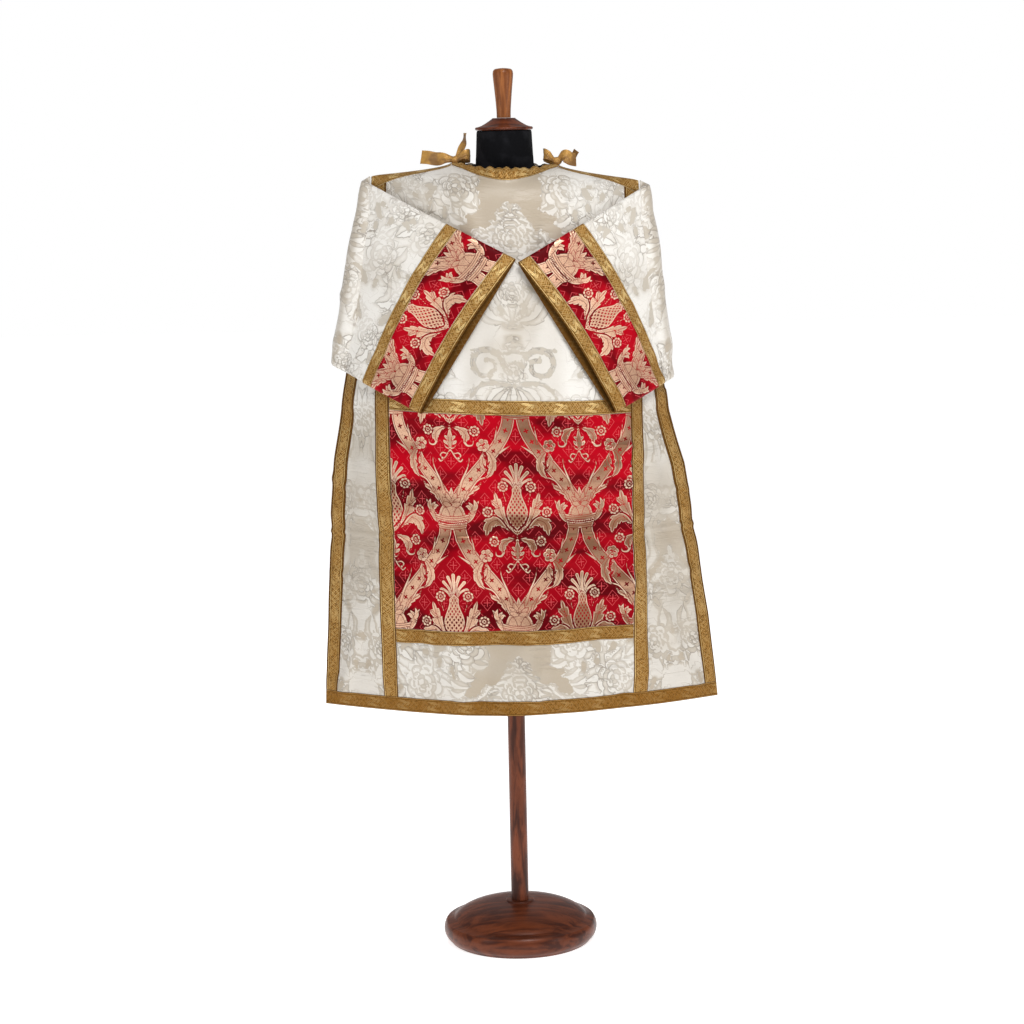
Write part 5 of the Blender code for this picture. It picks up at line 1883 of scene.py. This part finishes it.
def makeSleeve(side):
    sleeve, name, flip = sleeveMiddle(side), side.capitalize(), side == "right"
    around, nearArmhole, nearCuff = tube["grid"]
    rows = [fromArmhole(x) for x in spaced(0, tube["turn"], nearArmhole)]
    rows += [plainShare(share) for share in spaced(0, 1, tube["plainShare"])[1:-1]]
    rows += [fromCuff(x) for x in spaced(cuffBack, 0, nearCuff)]
    grid, normals, flat = sleeveGrid(sleeve, rows, around)
    shares, _ = ringPlaces(sleeve["girth"], around)
    out = np.interp(shares, sleeve["places"], sleeve["lengths"])[None, :] - flat[..., 0]
    local = np.stack([tube["flat"][0] + out + damask["axis"], tube["flat"][1] + flat[..., 1],
                      np.zeros(out.shape)], axis=-1)
    fields = damaskFields(local)
    # painted shade along the top fold, where the tube turns away
    top, bottom = (np.array(sleeves[side][end]) for end in ("foldTop", "foldBottom"))
    course = unit(bottom - top)
    away = (grid[..., 0] - top[0]) * course[1] - (grid[..., 2] - top[1]) * course[0]
    fields["weave"][..., 2] += tube["soil"] * bell(away, tube["soilHalf"])
    sheetPiece("sleeve" + name, "damask", grid, normals, fields, True, flip, (4, 1))

    def band(distances, step, lift=cloth["lift"]):
        lines = [fromCuff(x) for x in distances]
        return sleeveGrid(sleeve, lines, step, lift, distances[0] < distances[-1])

    def braid(title, points, normals, spread, back, steps):
        flat = np.stack([spread[..., 1], spread[..., 0] - back,
                         np.full(points.shape[:2], tube["galloon"] / 2)], axis=-1)
        sheetPiece(title + name, "braid", points, normals, {"flat": flat}, True, flip, steps)

    free, galloon, far = cloth["free"], tube["galloon"], tube["galloon"] + tube["apparel"]
    fine, (around, along) = tube["lampasGrid"], tube["braidGrid"]
    points, normals, spread = band(spaced(far - free, galloon + free, fine), fine)
    local = np.stack([spread[..., 1] - tube["pineapple"][0],
                      spread[..., 0] - tube["pineapple"][1],
                      np.full(spread.shape[:2], tube["facing"])], axis=-1)
    sheetPiece("cuffApparel" + name, "lampas", points, normals, lampasFields(local), True, flip,
               (4, 2))
    points, normals, spread = band(spaced(far + galloon, far + free, along), around)
    braid("cuffGalloon", points, normals, spread, far + galloon / 2, (2, 1))
    # the binding goes round the cuff's end and back inside
    lift = cloth["lift"]
    outside, normals, spread = band(spaced(galloon - free, 0, along), around)
    inner, _, innerSpread = band(spaced(0, galloon - free, tube["insideGrid"]), around, -lift)
    onward = unit(outside[-1] - outside[-2])
    end = (outside[-1] + inner[0]) / 2
    angles = np.radians(tube["turnAngles"])
    turn = [end + normals[-1] * lift * math.cos(a) + onward * (lift * math.sin(a))
            for a in angles]
    points = np.concatenate([outside, turn, inner])
    spread = np.concatenate([spread, [spread[-1] - (lift * math.sin(a / 2), 0, 0)
                                      for a in angles], innerSpread * (-1, 1, 1)])
    braid("cuffBinding", points, gridNormals(points, True, flip), spread, galloon / 2, (1, 1))


for side in sleeves:
    makeSleeve(side)
    print(side, "sleeve made")


# Ribbon ties at the sides of the neck: a knot, a loop and two tails, as routes from the knot
# in millimetres

ties = {
    "left": {
        "knot": (-0.092, -0.012),
        "tailA": ((-4, -2, 1), (-20, -6, 4), (-36, -4, 3), (-52, -1, 6), (-65, 3, 7)),
        "tailB": ((1, 2, 4), (9, 4, 18), (16, 6, 32), (18.5, 7, 50)),
        "loop": ((2, -4, 1), (14, -13, 9), (25, -9, 10), (26, 3, 5), (15, 8, 1), (4, 3, 1)),
    },
    "right": {
        "knot": (0.098, -0.01),
        "tailA": ((3, 0, 2), (14, -6, 10), (26, -6, 4), (36, 0, 2)),
        "tailB": ((3, 3, 3), (16, 9, 9), (30, 10, 8), (38, 9, 19)),
        "loop": ((-3, -4, 1), (-13, -12, 10), (-24, -8, 14), (-23, 3, 10), (-12, 7, 2),
                 (-4, 3, 1)),
    },
}
ribbon = {
    "width": 0.026,
    "wall": 0.0009,
    "shares": {"tailA": 1, "tailB": 0.52, "loop": 0.84},  # of the width
    "taper": 0.46,
    "taperReach": 0.45,
    "upright": (0, 0.35, 1),
    "points": (30, 13),  # along and across
    "flutes": 2.5,  # small ones where the strip leaves the knot
    "fluteFrom": 1.15,
    "ruck": 0.0013,
    "cup": 0.1,
    "knot": (0.0092, 0.0078, 0.0082),
    "knotPoints": (20, 28),
    "knotEnd": 0.02,
    "knotSwell": 0.1,
    "knotTwist": 2.4,
    "sink": 0.003,
}


def ribbonGrid(route, width, taperBoth):
    line = curveThrough(metres(route), ribbon["points"][0])
    along = unit(np.gradient(line, axis=0))
    upright = np.array(ribbon["upright"])
    across = unit(upright - along * (along @ upright)[:, None])
    outward = np.cross(along, across)
    taper = mix(rise(np.linspace(0, 1, len(line)), 0, ribbon["taperReach"]), ribbon["taper"],
                1)
    if taperBoth:
        taper = np.minimum(taper, taper[::-1])
    places = np.linspace(-1, 1, ribbon["points"][1])
    flute = np.cos(places * math.pi * ribbon["flutes"])[None, :]
    flute = (ribbon["fluteFrom"] - taper)[:, None] * flute
    cup = ribbon["cup"] * (1 - places[None, :] ** 2)
    wide = places[None, :] * taper[:, None] * width / 2
    grid = (line[:, None] + across[:, None] * wide[..., None]
            + outward[:, None] * (flute * ribbon["ruck"] + cup * width / 4)[..., None])
    flat = np.stack([np.broadcast_to(runLength(line)[:, None], flute.shape),
                     np.broadcast_to(places[None, :] * width / 2, flute.shape),
                     np.zeros(flute.shape)], axis=-1)
    return grid, flat


def makeTie(side):
    tie = ties[side]
    x, y = tie["knot"]
    seat = float(shoulderHeight(np.array(x)) + lean(x, np.array(body["neckSideHeight"])))
    seat += cloth["lift"] + cloth["trimWall"] / 2 + cloth["gap"] - ribbon["sink"]
    vertices, faces, flats = [], [], []
    for part, share in ribbon["shares"].items():
        grid, flat = ribbonGrid(tie[part], ribbon["width"] * share, part == "loop")
        start = sum(len(each) for each in vertices)
        found, _, _ = sheetFaces(*grid.shape[:2], 1, 1)
        faces += [[start + n for n in face] for face in found]
        half = gridNormals(grid) * ribbon["wall"] / 2
        vertices += [(grid + half).reshape(-1, 3), (grid - half).reshape(-1, 3)]
        flats += [flat.reshape(-1, 3)] * 2
    # the knot: a small crossed bundle
    rows, columns = ribbon["knotPoints"]
    v = np.linspace(ribbon["knotEnd"], math.pi - ribbon["knotEnd"], rows)[:, None]
    u = np.linspace(0, 2 * math.pi, columns, endpoint=False)[None, :]
    swell = np.cos(3 * u + ribbon["knotTwist"] * np.cos(v)) * np.sin(v) ** 2
    swell = 1 + ribbon["knotSwell"] * swell
    ball = np.stack([swell * np.sin(v) * np.cos(u), swell * np.sin(v) * np.sin(u),
                     np.cos(v) + 0 * u], axis=-1) * ribbon["knot"]
    numbers = gridNumbers(rows, columns, sum(len(each) for each in vertices), True)
    faces += quads(numbers) + [numbers[0, :-1].tolist(), numbers[-1, -2::-1].tolist()]
    vertices.append(ball.reshape(-1, 3))
    flats.append(np.stack([ball[..., 0] + 0.02, ball[..., 2], 0 * ball[..., 0]],
                          axis=-1).reshape(-1, 3))
    knot = np.array([x, y, seat + ribbon["knot"][2]])
    meshPiece("tie" + side.capitalize(), "gold_ribbon", np.concatenate(vertices) + knot, faces,
              "satin", {"flat": np.concatenate(flats)}, 60)


for side in ties:
    makeTie(side)
print("ties made")


# Dress form

stand = {
    "baseRadius": 0.15,
    "footRadius": 0.138,
    "baseHeight": 0.078,
    "collar": 0.028,
    "poleRadius": 0.017,
    "torsoBottom": 0.78,
    "neckTop": 1.5745,
    "capHeight": 0.0225,
    "finialRadius": 0.0192,
    "top": 1.69,
    "segments": 128,
    "least": 0.0004,  # radius at the middle of a turned piece's ends
    "crownRise": 0.0015,
}
torso = {  # in millimetres
    # height, half width, half depth, shift in y
    "rings": (
        (780, 158, 104, 4), (792, 172, 116, 4), (840, 178, 120, 4), (920, 170, 112, 2),
        (1010, 150, 98, 0), (1070, 146, 94, -2), (1160, 160, 101, -4), (1250, 178, 104, -4),
        (1330, 190, 98, -4), (1395, 199, 84, -2), (1435, 202, 68, 0), (1458, 198, 54, 0),
        (1472, 186, 43, 0)),
    # half width, half depth, distance under the cloth
    "shoulder": ((168, 41, 7.5), (145, 42, 10), (120, 43, 13), (96, 44, 16.5), (74, 46, 13)),
    "neck": (
        (1508, 57, 48, 0), (1521, 54.5, 50.5, 0), (1548, 53, 53, 0), (1570, 52, 52, 0),
        (1573.7, 51.2, 51.2, 0), (1574.5, 49.5, 49.5, 0)),
}


def ringPiece(name, slot, rings, material, sharp):
    # rings of (height, half width, half depth, shift in y) joined into one closed skin
    count = stand["segments"]
    angles = np.linspace(0, 2 * math.pi, count, endpoint=False)
    points = [np.stack([w * np.cos(angles), d * np.sin(angles) + s, 0 * angles + h], axis=1)
              for h, w, d, s in rings]
    numbers = gridNumbers(len(rings), count, 0, True)
    faces = quads(numbers, True) + [numbers[0, -2::-1].tolist(), numbers[-1, :-1].tolist()]
    meshPiece(name, slot, np.concatenate(points), faces, material, {}, sharp)


def makeTorso():
    trunk, shoulder, neck = (metres(torso[key]) for key in ("rings", "shoulder", "neck"))
    rings = [trunk[0], *curveThrough(trunk[1:10], 50), *trunk[10:]]
    crown = rings[-1][0]
    for halfWidth, halfDepth, below in shoulder:
        rest = float(shoulderHeight(np.array(halfWidth))) - cloth["wall"] / 2 - below
        crown = max(crown + stand["crownRise"], rest - body["lean"] * halfWidth)
        rings.append((crown, halfWidth, halfDepth, 0))
    rings += [*curveThrough((rings[-1], *neck[:4]), 24)[1:], *neck[4:]]
    ringPiece("formTorso", "black_jersey", rings, "jersey", 60)


def arcPoints(centre, radii, start, end, count):
    angles = np.radians(np.linspace(start, end, count))
    return [(centre[0] + radii[0] * math.cos(a), centre[1] + radii[1] * math.sin(a))
            for a in angles]


def turned(name, slot, material, profile):
    # a profile of (radius, height) from the top of the axis to its foot
    rings = [(height, max(radius, stand["least"]), max(radius, stand["least"]), 0)
             for radius, height in reversed(profile)]
    ringPiece(name, slot, rings, material, 35)


def makeStand():
    tall, collar = stand["baseHeight"], stand["collar"] - 0.003
    foot = stand["footRadius"]
    turned("formBase", "mahogany", "board",
           [(0, tall), (collar, tall),
            *arcPoints((collar, tall - 0.003), (0.003, 0.003), 70, 0, 4),
            *arcPoints((0.03, 0.03), (0.106, 0.044), 84, 18, 26),
            *arcPoints((stand["baseRadius"] - 0.018, 0.024), (0.018, 0.022), 45, -60, 20),
            (foot, 0.0006), (foot - 0.0006, 0), (0, 0)])
    low, high = tall + cloth["gap"], stand["torsoBottom"] - cloth["gap"]
    radius = stand["poleRadius"]
    turned("formPole", "mahogany", "mahogany",
           [(0, high), (radius, high), (radius, low + 0.02), (radius, low), (0, low)])
    foot = stand["neckTop"] + cloth["gap"]
    plateau = foot + stand["capHeight"]
    turned("formCap", "mahogany", "board",
           [(0, plateau), (0.0205, plateau),
            *arcPoints((0.0205, plateau - 0.0018), (0.002, 0.0018), 75, 10, 5),
            (0.03, plateau - 0.0066), (0.036, plateau - 0.0105),
            (0.043, plateau - 0.0142), (0.05, plateau - 0.0165),
            *arcPoints((0.0515, foot + 0.003), (0.003, 0.003), 80, -90, 12), (0, foot)])
    start, top = plateau + cloth["gap"], stand["top"]
    crown = top - 0.0105
    radius = stand["finialRadius"]
    curve = radius * 0.36
    turned("formFinial", "light_wood", "lightWood",
           [(0, top), (radius * 0.35, top - 0.0004),
            *arcPoints((radius - 0.0004 - curve, top - 0.0012 - curve), (curve, curve), 78, 8,
                       12),
            *curveThrough([(radius, crown), (radius - 0.0005, crown - 0.008),
                           (0.0158, crown - 0.038), (0.0136, start + 0.016), (0.0132, start)],
                          30), (0, start)])


makeTorso()
makeStand()
print("dress form made")


# Cloth declarations

def shown(*names):
    return [bpy.data.objects[name] for name in names]


strips = ("NeckGalloon", "HemGalloon", "UpperGalloon", "LowerGalloon", "ClavusLeft",
          "ClavusRight", "ShoulderGalloonLeft", "ShoulderGalloonRight", "SideGalloonLeft",
          "SideGalloonRight")
cuts = {
    "panel": {"flat": (0.86, 1.08), "area": 0.76},
    "sleeve": {"flat": (0.76, 0.42), "area": 0.24},
    "apparel": {"flat": (0.47, 0.402)},
    "cuff": {"flat": (0.68, 0.096)},
}
for face in ("front", "back"):
    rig.sheet(*shown(face + "Panel"), held="hung", rests_on=["form_torso"],
             with_pieces=shown(*(face + name for name in strips)), **cuts["panel"])
    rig.sheet(*shown(face + "Apparel"), held="laid", rests_on=[face + "Panel"],
             **cuts["apparel"])
for name in ("Left", "Right"):
    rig.sheet(*shown("sleeve" + name), held="folded", rests_on=["frontPanel"],
             with_pieces=shown("cuffGalloon" + name, "cuffBinding" + name), **cuts["sleeve"])
    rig.sheet(*shown("cuffApparel" + name), held="laid", rests_on=["sleeve" + name],
             **cuts["cuff"])


# Floor, light and camera

def shownItem(name, data):
    item = bpy.data.objects.new(name, data)
    bpy.context.scene.collection.objects.link(item)
    return item


def makeFloor():
    startMaterial("paleFloor", Roughness=0.9, Emission_Color=(1, 1, 1, 1),
                  Emission_Strength=studio["floorGlow"])
    slow = mottled(place("TexCoord").outputs["Object"], 1.5)
    far, near = (tuple(shade * part for part in studio["floorColour"])
                 for shade in (1, studio["floorShade"]))
    feed(Base_Color=blend(ramp(slow, -1, 1), far, near))
    half = studio["floorSize"] / 2
    mesh = bpy.data.meshes.new("floor")
    mesh.from_pydata([(-half, -half, 0), (half, -half, 0), (half, half, 0), (-half, half, 0)],
                     [], [(0, 1, 2, 3)])
    mesh.materials.append(desk["material"])
    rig.stage(shownItem("floor", mesh))


def aim(item, where, target, roll=0):
    item.location = where
    look = (Vector(target) - Vector(where)).to_track_quat("-Z", "Y")
    item.rotation_mode = "QUATERNION"
    item.rotation_quaternion = look @ Matrix.Rotation(math.radians(roll), 4, "Z").to_quaternion()


def makeLights():
    for name, where, target, width, height, watts in studio["lights"]:
        light = bpy.data.lights.new(name, "AREA")
        light.shape = "RECTANGLE"
        light.size, light.size_y, light.energy = width, height, watts
        item = shownItem(name, light)
        item.visible_glossy = name != "backLight"  # it only lifts the cloth's edges
        aim(item, where, target)
    world = bpy.data.worlds.new("studio")
    bpy.context.scene.world = world
    world.use_nodes = True
    desk["tree"] = world.node_tree
    seen = place("LightPath").outputs["Is Camera Ray"]
    background = world.node_tree.nodes["Background"].inputs
    join((*studio["background"], 1), background["Color"])
    join(ramp(seen, 0, 1, studio["backgroundStrength"], studio["backgroundShown"]),
         background["Strength"])


def makeCamera():
    camera = bpy.data.cameras.new("camera")
    camera.sensor_width = cameraView["sensor"]
    camera.lens = cameraView["lens"]
    item = bpy.context.scene.camera = shownItem("camera", camera)
    aim(item, cameraView["place"], (0, 0, cameraView["aimHeight"]), cameraView["roll"])


makeFloor()
makeLights()
makeCamera()
bpy.context.scene.view_settings.view_transform = "Standard"
print("studio made")

with open("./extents.json", "w") as sizes:
    json.dump({"cad": [list(map(float, corner)) for corner in cadBox],
               "visual": [list(map(float, corner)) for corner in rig.bounds()]}, sizes)
